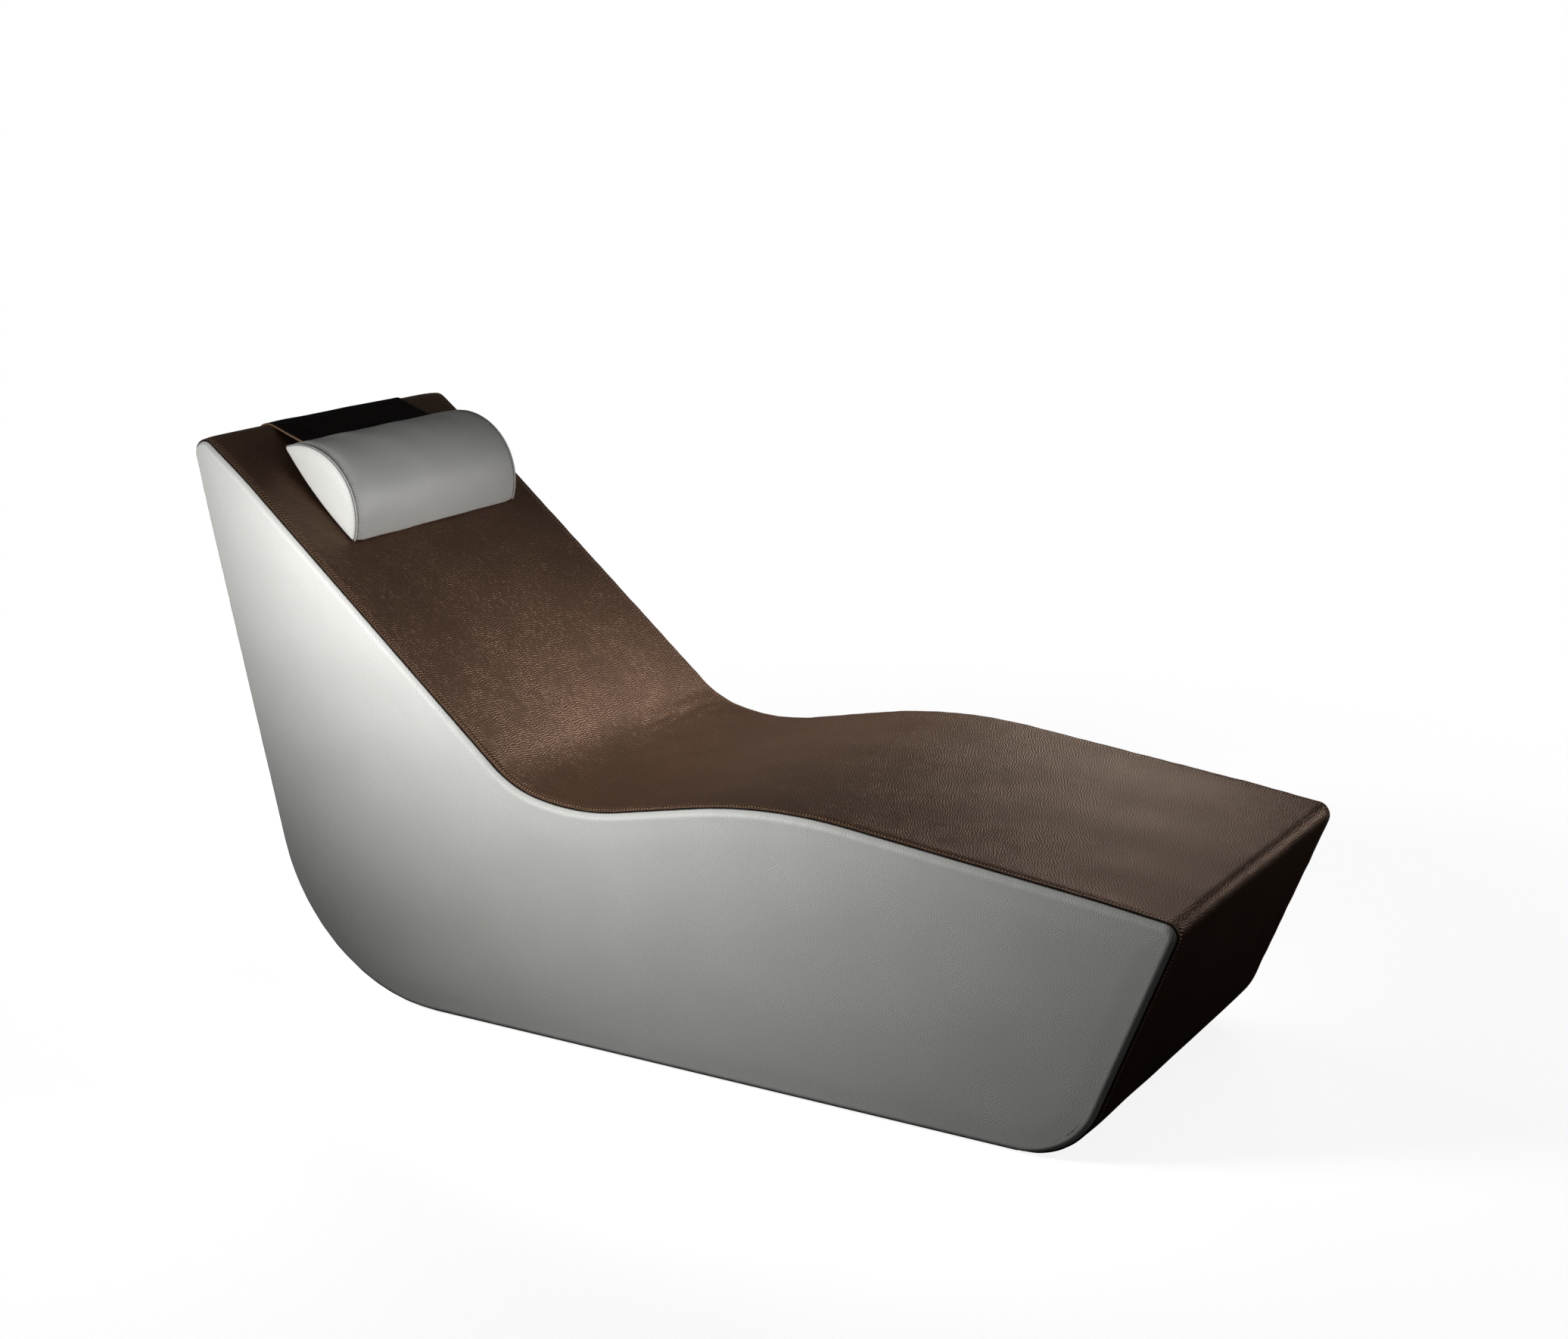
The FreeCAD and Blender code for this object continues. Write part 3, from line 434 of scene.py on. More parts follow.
wrapLook = {
    **whiteLook, "depth": 0.12 * mm, "edge": 232 * mm, "pitch": 5 * mm, "stitchAt": 7 * mm,
    "holeWidth": 0.9 * mm, "holeShare": 4.0, "holeShadeShare": 2.0, "holeShadeColour": "#3C3C39", "foldsAt": 12 * mm,
    "foldsWidth": 5 * mm, "foldsShare": 2.0, "slant": -300, "foldHighlightShare": 0.3, "foldHighlightColour": "#F2F2EE",
}
strapLook = {  # a dark brown leather, made almost black as painted shade, and without a sheen
    **brownLook, "colour": "#150E0A", "dark": "#120B08", "creaseShadeColour": "#080403", "depth": 0.35 * mm,
    "metallic": 0.0, "specular": 0.02, "foldsShare": 0.0, "holeShare": 0.0, "holeShadeShare": 0.0, "foldHighlightShare": 0.0,
}
brownLeather = leather("brownGrainedLeather", brownLook)
strapLeather = leather("strapLeatherWithPaintedShade", strapLook)
whiteLeather = leather("whiteGrainedLeather", whiteLook)
wrapLeather = leather("whiteTopstitchedLeather", wrapLook)
cutEdgeAndHighlight = plain("burnishedEdgeAndPaintedHighlight", "#8B7058", 0.5, grain=3 * mm)  # tan where the hide is cut, and on the strap's top also a painted highlight line beside each edge
foldHighlight = plain("paintedHighlightOnFold", "#8C6C52", 0.38, grain=3 * mm)  # painted highlight: lighter on the top of the folded hem
seamShade = plain("paintedShadeInTheSeam", "#55544F", 0.8, grain=1 * mm)  # painted shade: a dark line in the seam where two hides meet
# painted shade: the hem's wall, dark beside the white
hemShade = plain("paintedShadeOnHemWall", "#1A110B", 0.7, grain=1 * mm, specular=0.1)
brownThread = plain("bondedNylonThreadTan", "#C6A07A", 0.45, grain=1 * mm)  # pale dashes with a slight shine
whiteThread = plain("bondedNylonThreadWhite", "#D6D6D1", 0.45, grain=1 * mm)  # just off the hide's white
print("materials: leathers and threads")


# seat and rear covers: one brown strip round the outline, hemmed and topstitched at both sides

strip = {
    "step": 3 * mm,  # along the outline
    "fold": 1.7 * mm,  # radius of the folded edge
    "litFoldColumns": 2,  # columns of faces at the fold's top that get the painted highlight
    "wall": ((0.6 * mm, -7 * mm), (0.1 * mm, -4 * mm)),  # below the fold, down in the seam: inward, down
    "lift": 1.1 * mm,  # the hem is two leathers thick
    "stitch": 6.0 * mm,  # topstitch row, from the edge
    "stitchDepth": 0.8 * mm, "stitchWidth": 0.8 * mm,
    "hemEnd": (6.4 * mm, 7.8 * mm),  # where the second leather thins out
    "shoulderReach": 3.6 * mm, "fullPower": 14,
    "uneven": 0.45 * mm, "swellReach": 0.19,
    "swellCrown": 3 * mm,  # how proud the strip is where the swell is whole
    "rippleShare": 0.6, "ripples": [0.061, 0.083, 0.131, 0.037], "rippleSkew": 0.3, "rippleWidth": 22 * mm,
    "lap": 2.2 * mm,  # how far the seat cover's low end turns in
    "under": 12 * mm, "tuck": (2.5 * mm, 4 * mm),  # how the rear cover goes on below it: how deep, how soon
    "columns": [2.4, 3.3, 4.2, 4.8, 5.3, 5.7, 6.0, 6.3, 6.7, 7.3, 8.2, 9.5, 11, 13, 15.5, 18.5, 22, 27, 34,
                43, 55, 70, 88, 108, 130, 155, 182, 210, 240, 270, 300],  # from the edge, mm
    "endRows": [0.3, 0.8, 1.4, 2.1, 3, 4.2, 5, 5.5, 6, 6.5, 7, 7.8, 9],  # from the low end, mm
    # creases in the dip: place along the outline from the lumbar bend, y from and to, depth, width, slant
    "creases": [
        (0.000, 0.06, 0.30, 1.1 * mm, 9 * mm, 0.10), (0.020, 0.12, 0.31, 0.9 * mm, 9 * mm, 0.16),
        (-0.030, 0.18, 0.30, 0.6 * mm, 9 * mm, 0.05), (0.200, -0.27, -0.02, 0.9 * mm, 9 * mm, -0.30),
        (0.250, -0.25, 0.00, 0.7 * mm, 10 * mm, -0.34), (0.110, -0.30, -0.10, 0.6 * mm, 9 * mm, -0.12),
    ],
    "creaseBow": 4 * mm, "creaseWaves": 60, "creaseEnd": 0.03, "creaseLip": 0.5, "lipAt": 1.6,
}


def coverBase(s, y):
    # The strip's height without its hem: the lift at the seam, behind the stitches a shoulder that rises by
    # 1 - exp(-distance / reach), and from there to the middle by 1 - (y / seamY)^fullPower.
    lift, shoulder, extra = seamAt(s)
    behind = np.maximum(lounger["seamY"] - abs(y) - strip["stitch"], 0)
    rise = shoulder * (1 - np.exp(-behind / strip["shoulderReach"]))
    full = 1 - (abs(y) / lounger["seamY"]) ** strip["fullPower"]
    return offFloor(s) * (lift + rise) * (1 - full) + (crownAt(s) + extra) * full


def stripHeight(s, y):
    # how far the strip stands outside the outline: its base, the hem, the stitch groove, ripples and creases
    w = lounger["seamY"] - abs(y)
    hem = strip["lift"] * (1 - smooth(*strip["hemEnd"], w))
    groove = strip["stitchDepth"] * bell(w - strip["stitch"], strip["stitchWidth"])
    edge = bell(w, strip["rippleWidth"])
    ripples = strip["rippleShare"] * ripple(s + strip["rippleSkew"] * y, strip["ripples"], 4) * edge
    swells = swell(s, y, strip["swellReach"], 7) * (1 - edge) * smooth(0, strip["swellCrown"], crownAt(s))
    height = coverBase(s, y) + offFloor(s) * (hem - groove) + strip["uneven"] * (ripples + swells)
    end = strip["creaseEnd"]
    for place, low, high, depth, width, slant in strip["creases"]:
        line = arcMiddle["lumbar"] + place + slant * (y - (low + high) / 2)
        line = line + strip["creaseBow"] * np.sin((y - low) * strip["creaseWaves"])
        ends = smooth(low - end, low + end, y) * (1 - smooth(high - end, high + end, y))
        across = (s - line) / width
        fold = strip["creaseLip"] * bell(across - strip["lipAt"], 1) - bell(across, 1)
        height = height + depth * ends * fold
    return height


def coverStrip(name, low, high, hides, lapLow=False, tuckHigh=False):
    # the strip from length low to high; across it come the fold in the groove, the hem, and the wide middle
    regular = np.linspace(low, high, round((high - low) / strip["step"]) + 1)
    s = np.union1d(regular, low + np.array(strip["endRows"]) * mm)
    turn = np.linspace(0, np.pi / 2, 6)
    wallW, wallE = np.transpose(strip["wall"])
    foldW = np.concatenate([wallW, strip["fold"] * (1 - np.cos(turn))])
    foldE = np.concatenate([wallE, -strip["fold"] * (1 - np.sin(turn))])
    w = np.concatenate([foldW, np.array(strip["columns"]) * mm, [lounger["seamY"]]])
    y = np.concatenate([w - lounger["seamY"], (lounger["seamY"] - w[:-1])[::-1]])
    fall = np.concatenate([foldE, np.zeros(len(w) - len(foldE))])
    fall = np.concatenate([fall, fall[:-1][::-1]])
    points, normals = pathAt(spans, s)
    grid, columns = np.meshgrid(s, y, indexing="ij")
    height = stripHeight(grid, columns) + fall
    if lapLow:  # the end is turned in round and stitched down
        t = np.clip((grid - low) / strip["lap"], 0, 1)
        height -= strip["lap"] * (1 - np.sqrt(1 - (1 - t) ** 2))
        height -= strip["stitchDepth"] * bell(grid - low - strip["stitch"], strip["stitchWidth"])
    if tuckHigh:  # the end goes in under the other cover
        deep, soon = strip["tuck"]
        height -= deep * (1 - smooth(0, soon, high - grid))
    place = points[:, None, :] + normals[:, None, :] * height[..., None]
    place[..., 1] = np.maximum(place[..., 1], lounger["underside"])
    shape = np.stack([place[..., 0], columns, place[..., 1]], -1)
    edgeColumns = np.arange(grid.shape[1] - 1)
    toFoldTop = len(foldW) - 1 - np.minimum(edgeColumns, edgeColumns[::-1])
    # faces at the fold's top get the painted highlight (kind 1)
    kind = 2 * (toFoldTop > strip["litFoldColumns"]) + ((toFoldTop > 0) & (toFoldTop <= strip["litFoldColumns"]))
    # faces on the hem's wall get the painted shade (kind 2)
    makePiece(name, shape, gridFaces(*grid.shape), [brownLeather, foldHighlight, hemShade],
              "base", np.stack([columns, grid], -1), np.tile(kind, grid.shape[0] - 1), flip=True,
              hides=hides)


coverStrip("seatCover", lapPoint, flatStart, ("seat_cover", "top_foam", "foot_foam"), lapLow=True)
coverStrip("rearCover", 0.0, lapPoint + strip["under"], ("rear_cover", "rear_foam"), tuckHigh=True)
print("brown covers")

# side panels: white leather over a foam plate, with soft rims

panel = {
    "ring": 1340,  # points round the outline
    # the lip in the seam and the place where the rim leaves it: outward, and below the outline
    "lip": ((0.5 * mm, 7.5 * mm), (0.15 * mm, 4 * mm), (0.1 * mm, 2.2 * mm), (0.1 * mm, 1.4 * mm)),
    "rimStart": (0.2 * mm, 1 * mm),
    "rimDepth": 10 * mm,  # from the seam out to the panel's face
    "round": 11 * mm,  # how far in from the seam the rim rolls over
    "rollFrom": 1.1,  # the angle at which it leaves the seam
    "below": 0.8 * mm,  # the rim lies lower than the seam
    "behindRim": (14 * mm, 17 * mm),  # the ring's last two rows
    "fullness": 1.2 * mm, "fullAt": 55 * mm,  # how much the face swells behind the rim, and by where
    "rows": 30,
    "uneven": 0.5 * mm, "swellReach": 0.21, "swellFrom": (20 * mm, 80 * mm),
    "rippleShare": 0.3, "ripples": [0.047, 0.071, 0.118, 0.029], "rippleAt": 6 * mm, "rippleWidth": 6 * mm,
}


def panelFace(depth):
    # distance of the face from the seam plane, at a depth inside the outline
    start = panel["rimDepth"] - panel["fullness"]
    return start + panel["fullness"] * smooth(panel["round"], panel["fullAt"], depth)


def sidePanel(name, side, hides):
    # A ring round the outline, and a flat middle. Across the ring come the lip in the seam, a rim that rolls
    # over as an elliptical arc, and the edge of the face.
    count = panel["ring"]
    s = np.arange(count) * outlineLength / count
    points, normals = pathAt(spans, s)
    start = panel["rollFrom"]
    turn = np.linspace(start, np.pi / 2, 9)
    rolled = (np.sin(turn) - math.sin(start)) / (1 - math.sin(start))
    sunk = 1 - np.cos(turn) / math.cos(start)
    lipOut, lipDepth = np.transpose(panel["lip"])
    firstOut, firstDepth = panel["rimStart"]
    last = np.array(panel["behindRim"])
    wide = panel["rimDepth"] - panel["fullness"] - firstOut
    out = np.concatenate([lipOut, firstOut + wide * rolled, panelFace(last)])
    depth = np.concatenate([lipDepth, firstDepth + panel["round"] * sunk, last])
    travel = lengthAlong(np.stack([out, depth], -1))
    wobble = panel["uneven"] * panel["rippleShare"] * ripple(s, panel["ripples"], 11 + side)
    inner = points - normals * last[-1]
    # the rim goes with the seam, less and less to the ring's end
    lift = (seamAt(s)[0] - panel["below"]) * offFloor(s)
    deep = depth[None, :] - lift[:, None] * (1 - smooth(0, last[-1], depth))[None, :]
    rimXz = points[:, None] - normals[:, None] * deep[..., None]
    rimY = out[None, :] + wobble[:, None] * bell(depth - panel["rippleAt"], panel["rippleWidth"])[None, :]
    rimSkin = inner[:, None] + normals[:, None] * (travel[-1] - travel)[None, :, None]
    # the flat middle: lines between ring points that lie equally far from the crest
    apex = round(arcMiddle["crest"] / outlineLength * count)
    j = np.arange(1, count // 2)
    a, b = (apex - j) % count, (apex + j) % count
    t = (1 - np.cos(np.pi * np.arange(1, panel["rows"] + 1) / (panel["rows"] + 1))) / 2
    flat = (inner[a][:, None] * (1 - t)[None, :, None] + inner[b][:, None] * t[None, :, None]).reshape(-1, 2)
    # how far each of its points is from the outline, in parts that the memory holds
    near = np.concatenate([np.linalg.norm(part[:, None] - points[None, ::3], axis=-1).min(1)
                           for part in np.array_split(flat, 50)])
    soft = panel["uneven"] * swell(flat[:, 0], flat[:, 1], panel["swellReach"], 20 + side)
    flatY = panelFace(near) + soft * smooth(*panel["swellFrom"], near)
    xz = np.concatenate([rimXz.reshape(-1, 2), flat])
    y = side * (lounger["seamY"] + np.concatenate([rimY.ravel(), flatY]))
    columns = len(out)
    table = np.zeros((len(j), panel["rows"] + 2), int)
    table[:, 0], table[:, -1] = a * columns + columns - 1, b * columns + columns - 1
    table[:, 1:-1] = count * columns + np.arange(len(flat)).reshape(len(j), panel["rows"])
    quads = np.stack([table[:-1, :-1], table[:-1, 1:], table[1:, 1:], table[1:, :-1]], -1).reshape(-1, 4)
    fans = []  # triangles at each end of the middle
    for tip, row in ((apex % count, table[0]), ((apex + count // 2) % count, table[-1][::-1])):
        point = np.full(len(row) - 1, tip * columns + columns - 1)
        fans += np.stack([point, row[:-1], row[1:]], -1).tolist()
    faces = np.concatenate([gridFaces(count, columns, wrapRows=True), quads[:, ::-1]])
    makePiece(name, np.stack([xz[:, 0], y, xz[:, 1]], -1), faces, [whiteLeather], "base",
              np.concatenate([rimSkin.reshape(-1, 2), flat]), flip=side > 0, caps=fans, smoothCaps=True,
              hides=hides)


for side, word in ((-1, "left"), (1, "right")):
    sidePanel("sidePanel" + word.capitalize(), side, ("side_cover_" + word, "side_foam_" + word))
print("white side panels")

# topstitches: sunk thread loops along each hem, and along the seat cover's low end

thread = {
    "pitch": 6 * mm, "length": 4.3 * mm, "radius": 0.6 * mm, "sides": 6, "sunk": 0.3 * mm,
    "fine": 0.42 * mm,  # radius of the thinner thread on the headrest and the pouch
    # a stitch's rings: places from its middle in half lengths, and widths; its ends dip by this many radii
    "ringPlaces": [-1, -0.75, 0, 0.75, 1], "ringWidths": [0.45, 0.9, 1, 0.9, 0.45], "dip": 1.3,
    "stray": 0.1 * mm, "strayWaves": [0.043, 0.027], "lapReach": 306 * mm,
}


def sew(name, places, ways, ups, length, radius, material, body):
    # one small bowed capsule for each stitch: rings along its way, whose ends dip into the leather by place^4
    share = np.array(thread["ringPlaces"])
    wide = np.array(thread["ringWidths"]) * radius
    dip = -radius * thread["dip"] * share ** 4
    turn = np.arange(thread["sides"]) * 2 * np.pi / thread["sides"]
    across = np.cross(ways, ups)
    centre = (places[:, None] + ways[:, None] * (share * length / 2)[None, :, None]
              + ups[:, None] * dip[:, None])
    ring = (across[:, None, None] * (wide[:, None] * np.cos(turn))[..., None]
            + ups[:, None, None] * (wide[:, None] * np.sin(turn))[..., None])
    each = len(share) * len(turn)
    starts = np.arange(len(places)) * each
    quads = gridFaces(len(share), len(turn), wrapColumns=True)[:, ::-1]
    faces = (quads[None] + starts[:, None, None]).reshape(-1, 4)
    end = np.arange(len(turn))
    caps = np.concatenate([starts[:, None] + end, starts[:, None] + each - 1 - end]).tolist()
    makePiece(name, centre[:, :, None] + ring, faces, [material], body, caps=caps)


def coverStitches(name, s, y, alongHem):
    # stitches on the strip at lengths s and places y, along the hem or across the strip
    points, normals = pathAt(spans, s)
    height = stripHeight(s, y) + thread["sunk"] - (0 if alongHem else strip["stitchDepth"])
    place = points + normals * height[:, None]
    zero = 0 * s
    ups = np.stack([normals[:, 0], zero, normals[:, 1]], -1)
    alongWays = np.stack([normals[:, 1], zero, -normals[:, 0]], -1)
    ways = alongWays if alongHem else np.tile([0.0, 1, 0], (len(s), 1))
    sew(name, np.stack([place[:, 0], y, place[:, 1]], -1), ways, ups, thread["length"], thread["radius"],
        brownThread, "base")


for side, word in ((-1, "Left"), (1, "Right")):
    for label, low, high in (("seat", lapPoint, flatStart), ("rear", 0.0, lapPoint)):
        first, end = math.ceil(low / thread["pitch"]) + 1, math.floor(high / thread["pitch"])
        s = np.arange(first, end) * thread["pitch"]
        stray = thread["stray"] * ripple(s, thread["strayWaves"], 32)
        coverStitches(label + "Stitches" + word, s, side * (lounger["seamY"] - strip["stitch"]) + stray, True)
lapCount = round(thread["lapReach"] / thread["pitch"])
lapY = np.arange(-lapCount, lapCount + 1) * thread["pitch"]
coverStitches("lapStitches", np.full(len(lapY), lapPoint + strip["stitch"]), lapY, False)
print("hem stitches")

# headrest: a half-round pillow, wrapped in one piece of leather with a cap sewn in at each end

pillow = {
    "length": 464 * mm, "chord": 230 * mm, "rise": 75 * mm, "belly": 9 * mm, "tilt": 6.8, "place": 143 * mm,
    "offset": 20 * mm, "crown": 3 * mm, "corner": 4 * mm, "dome": 7 * mm, "domeReach": 12 * mm,
    # points along the section: the arch, its low corner, the belly, its high corner
    "section": (92, 9, 60, 9), "fineArch": 600,
    "welt": 1.3 * mm, "weltAt": 3.2 * mm, "weltWidth": 2.4 * mm,  # the raised edge beside the end seam
    "stitch": 7 * mm, "stitchDepth": 0.9 * mm, "stitchPitch": 5 * mm, "stitchLength": 3.2 * mm,
    "stitchWidth": 0.9 * mm, "seam": 0.9 * mm, "seamWidth": 0.7 * mm, "turnIn": 3 * mm,
    # how far the seam draws the wrap in, and how wide
    "pull": 2.4 * mm, "pullFrom": 5 * mm, "pullEnd": 30 * mm,
    "rows": [0.0, 0.15, 0.5, 1.0, 1.6, 2.2, 2.8, 3.4, 4.1, 4.8, 5.4, 5.9, 6.3, 6.7, 7.0, 7.3, 7.7, 8.2, 8.9,
             10, 11.5, 13.5, 16, 19, 23, 28, 34, 40],  # from each end seam, mm
    "evenRows": 62, "evenFrom": 46 * mm,
    "uneven": 0.5 * mm, "swellReach": 0.09, "swellFrom": (8 * mm, 40 * mm),
    "pucker": 0.35 * mm, "puckers": [0.019, 0.027, 0.043], "puckerAt": 14 * mm, "puckerWidth": 9 * mm,
    "seamShadeReach": 0.7 * mm,  # how far from the end the wrap's rows get the painted seam shade
    "capInset": 1.9 * mm, "capSunk": 3.2 * mm, "capSeam": 0.9 * mm, "capUneven": 0.3 * mm, "capReach": 0.07,
    "capSwellFrom": (4 * mm, 20 * mm),
    "capRings": [-0.3, 0.2, 0.7, 1.3, 2, 3, 4.2, 5.6, 7.5, 10, 13, 16.5, 20, 24, 28, 32, 35, 37.5,
                 39.2],  # from its seam inward, mm
    "capMiddle": 39.8 * mm, "leastCorner": 0.1 * mm,  # the depth at which its section closes up
}


def crownedCorner(name):
    # an outline corner in the middle of the width, moved out along its bisector
    i = names.index(name)
    ways = np.roll(corners[:, :2], -1, 0) - corners[:, :2]
    ways = ways / np.linalg.norm(ways, axis=1)[:, None]
    out = np.array([-ways[i][1] - ways[i - 1][1], ways[i][0] + ways[i - 1][0]])
    return corners[i, :2] + unit(out) * lounger["crowns"][name]


crestTop = crownedCorner("crest")
slope = unit(crownedCorner("lumbar") - crestTop)
slopeOut = np.array([-slope[1], slope[0]])
tilt = math.radians(pillow["tilt"])
bellyRadius = (pillow["chord"] ** 2 / 4 + pillow["belly"] ** 2) / (2 * pillow["belly"])
pillowLift = (lounger["softGap"] + bellyRadius + pillow["chord"] / 2 * math.sin(tilt)
              - (bellyRadius - pillow["belly"]) * math.cos(tilt))
pillowEdge = crestTop + slope * pillow["place"] + slopeOut * pillowLift
alongChord = slope * math.cos(tilt) - slopeOut * math.sin(tilt)
offChord = slopeOut * math.cos(tilt) + slope * math.sin(tilt)
halfPillow = pillow["length"] / 2


def pillowSection(depth, crown, corner, counts):
    # The section depth below the surface, as a closed row of points with normals: two arcs that meet at two
    # corners. It is the section corner deeper still, moved out by corner, so each corner becomes an arc.
    height = pillow["rise"] + crown
    archRadius = (pillow["chord"] ** 2 / 4 + height ** 2) / (2 * height)
    archQ, bellyQ = height - archRadius, bellyRadius - pillow["belly"]
    a, b = archRadius - depth - corner, bellyRadius - depth - corner
    meetQ = (archQ ** 2 - bellyQ ** 2 - a ** 2 + b ** 2) / (2 * (archQ - bellyQ))
    half = np.sqrt(np.maximum(a ** 2 - (meetQ - archQ) ** 2, 0))
    archTurn = math.atan2(half, meetQ - archQ)
    bellyTurn = math.atan2(half, bellyQ - meetQ)
    arch = np.linspace(-archTurn, archTurn, counts[0])
    belly = np.linspace(bellyTurn, -bellyTurn, counts[2])
    low = np.linspace(archTurn, np.pi - bellyTurn, counts[1] + 2)[1:-1]
    high = np.linspace(np.pi + bellyTurn, 2 * np.pi - archTurn, counts[3] + 2)[1:-1]
    turns = np.concatenate([arch, low, np.pi - belly, high])
    normals = np.stack([np.sin(turns), np.cos(turns)], -1)
    centres = np.concatenate([
        np.stack([a * np.sin(arch), archQ + a * np.cos(arch)], -1), np.tile([half, meetQ], (counts[1], 1)),
        np.stack([b * np.sin(belly), bellyQ - b * np.cos(belly)], -1),
        np.tile([-half, meetQ], (counts[3], 1)),
    ])
    return centres + normals * corner + np.array([pillow["chord"] / 2, 0]), normals


def pillowPlace(p, q, y):
    # from chord coordinates to the row frame; the pillow lies on the cover, as high as that is at each side
    s = arcMiddle["crest"] + pillow["place"] + p
    y = y + pillow["offset"]
    rest = coverBase(s, y) - crownAt(s)
    xz = (pillowEdge + alongChord * p[..., None] + offChord * q[..., None] + slopeOut * rest[..., None])
    return np.stack([xz[..., 0], y + 0 * p, xz[..., 1]], -1)


def wrapProfile(w):
    # height of the wrap's surface at distance w from its end seam: a bell-shaped welt, the stitch groove, and
    # a soft rise from where the seam draws it in
    welt = pillow["welt"] * bell(w - pillow["weltAt"], pillow["weltWidth"])
    groove = pillow["stitchDepth"] * bell(w - pillow["stitch"], pillow["stitchWidth"])
    seam = pillow["seam"] * bell(w, pillow["seamWidth"])
    return welt - groove - seam - pillow["pull"] * (1 - smooth(pillow["pullFrom"], pillow["pullEnd"], w))


def headrestWrap():
    # the section carried from end to end, raised by the profile, and uneven and puckered above the belly
    rows = np.array(pillow["rows"]) * mm
    even = np.linspace(-halfPillow + pillow["evenFrom"], halfPillow - pillow["evenFrom"], pillow["evenRows"])
    y = np.concatenate([rows - halfPillow, even, (halfPillow - rows)[::-1]])
    w = halfPillow - abs(y)
    shape, skin = [], []
    for here, gap in zip(y, w):
        crown = pillow["crown"] * (1 - (here / halfPillow) ** 2)
        points, normals = pillowSection(0, crown, pillow["corner"], pillow["section"])
        drop = wrapProfile(gap) - (pillow["turnIn"] if gap == 0 else 0)
        along = lengthAlong(points)
        rough = pillow["uneven"] * swell(along, here + 0 * along, pillow["swellReach"], 41)
        pucker = pillow["pucker"] * ripple(along, pillow["puckers"], 42)
        extra = (rough * smooth(*pillow["swellFrom"], gap)
                 + pucker * bell(gap - pillow["puckerAt"], pillow["puckerWidth"]))
        under = normals[:, 1] < -0.5
        points = points + normals * (drop + np.where(under, 0, extra))[:, None]
        shape.append(pillowPlace(points[:, 0], points[:, 1], here))
        skin.append(np.stack([np.full(len(along), here), along], -1))
    count = len(shape[0])
    caps = [list(range(count))[::-1], list(range((len(y) - 1) * count, len(y) * count))]
    # rows by each end seam get the painted seam shade
    seamShaded = (np.minimum(w[:-1], w[1:]) < pillow["seamShadeReach"]).repeat(count).astype(int)
    makePiece("headrestWrap", shape, gridFaces(len(y), count, wrapColumns=True), [wrapLeather, seamShade],
              "headrest", skin, seamShaded, caps=caps, hides=("headrest_cover", "headrest_foam"))


def headrestCap(name, side, hides):
    # rings from the seam to the centre; the leather rises from the seam and domes by 1 - exp(-depth / reach)
    shape, skin = [], []
    for depth in np.array(pillow["capRings"]) * mm:
        corner = max(min(pillow["corner"], pillow["capMiddle"] - depth), pillow["leastCorner"])
        points, _ = pillowSection(depth + pillow["capInset"], 0.0, corner, pillow["section"])
        out = (pillow["dome"] * (1 - math.exp(-max(depth, 0) / pillow["domeReach"]))
               - pillow["capSunk"] * math.exp(-max(depth, 0) / pillow["capSeam"]))
        rough = pillow["capUneven"] * swell(points[:, 0], points[:, 1], pillow["capReach"], 51)
        y = side * (halfPillow + out + rough * smooth(*pillow["capSwellFrom"], depth))
        shape.append(pillowPlace(points[:, 0], points[:, 1], y))
        skin.append(points)
    count = len(shape[0])
    last = (len(shape) - 1) * count + np.arange(count)
    points = np.concatenate([*shape, [shape[-1].mean(0)]])
    skins = np.concatenate([*skin, [skin[-1].mean(0)]])
    fan = np.stack([last, np.roll(last, -1), np.full(count, len(points) - 1)], -1).tolist()
    makePiece(name, points, gridFaces(len(shape), count, wrapColumns=True), [whiteLeather],
              "headrest", skins, flip=side < 0, caps=fan, smoothCaps=True, hides=hides)


def headrestStitches(name, side):
    # topstitches beside the welt, all round the arch
    count = pillow["fineArch"]
    points, normals = pillowSection(0, 0.0, pillow["corner"], (count, *pillow["section"][1:]))
    along = lengthAlong(points[:count])
    s = np.arange(1, math.floor(along[-1] / pillow["stitchPitch"])) * pillow["stitchPitch"]
    p, q = (np.interp(s, along, points[:count, k]) for k in (0, 1))
    n = np.stack([np.interp(s, along, normals[:count, k]) for k in (0, 1)], -1)
    height = wrapProfile(pillow["stitch"]) + thread["sunk"]
    places = pillowPlace(p + n[:, 0] * height, q + n[:, 1] * height, side * (halfPillow - pillow["stitch"]))
    up = alongChord * n[:, :1] + offChord * n[:, 1:]
    ups = np.stack([up[:, 0], 0 * s, up[:, 1]], -1)
    ways = np.stack([up[:, 1], 0 * s, -up[:, 0]], -1)
    sew(name, places, ways, ups, pillow["stitchLength"], thread["fine"], whiteThread,
        "headrest")


headrestWrap()
for side, word in ((-1, "left"), (1, "right")):
    headrestCap("headrestCap" + word.capitalize(), side, ("headrest_cap_" + word,))
for side, word in ((-1, "Left"), (1, "Right")):
    headrestStitches("headrestStitches" + word, side)
print("headrest")

# strap: two bonded leathers from the pillow over the crest, and down behind to the weight pouch

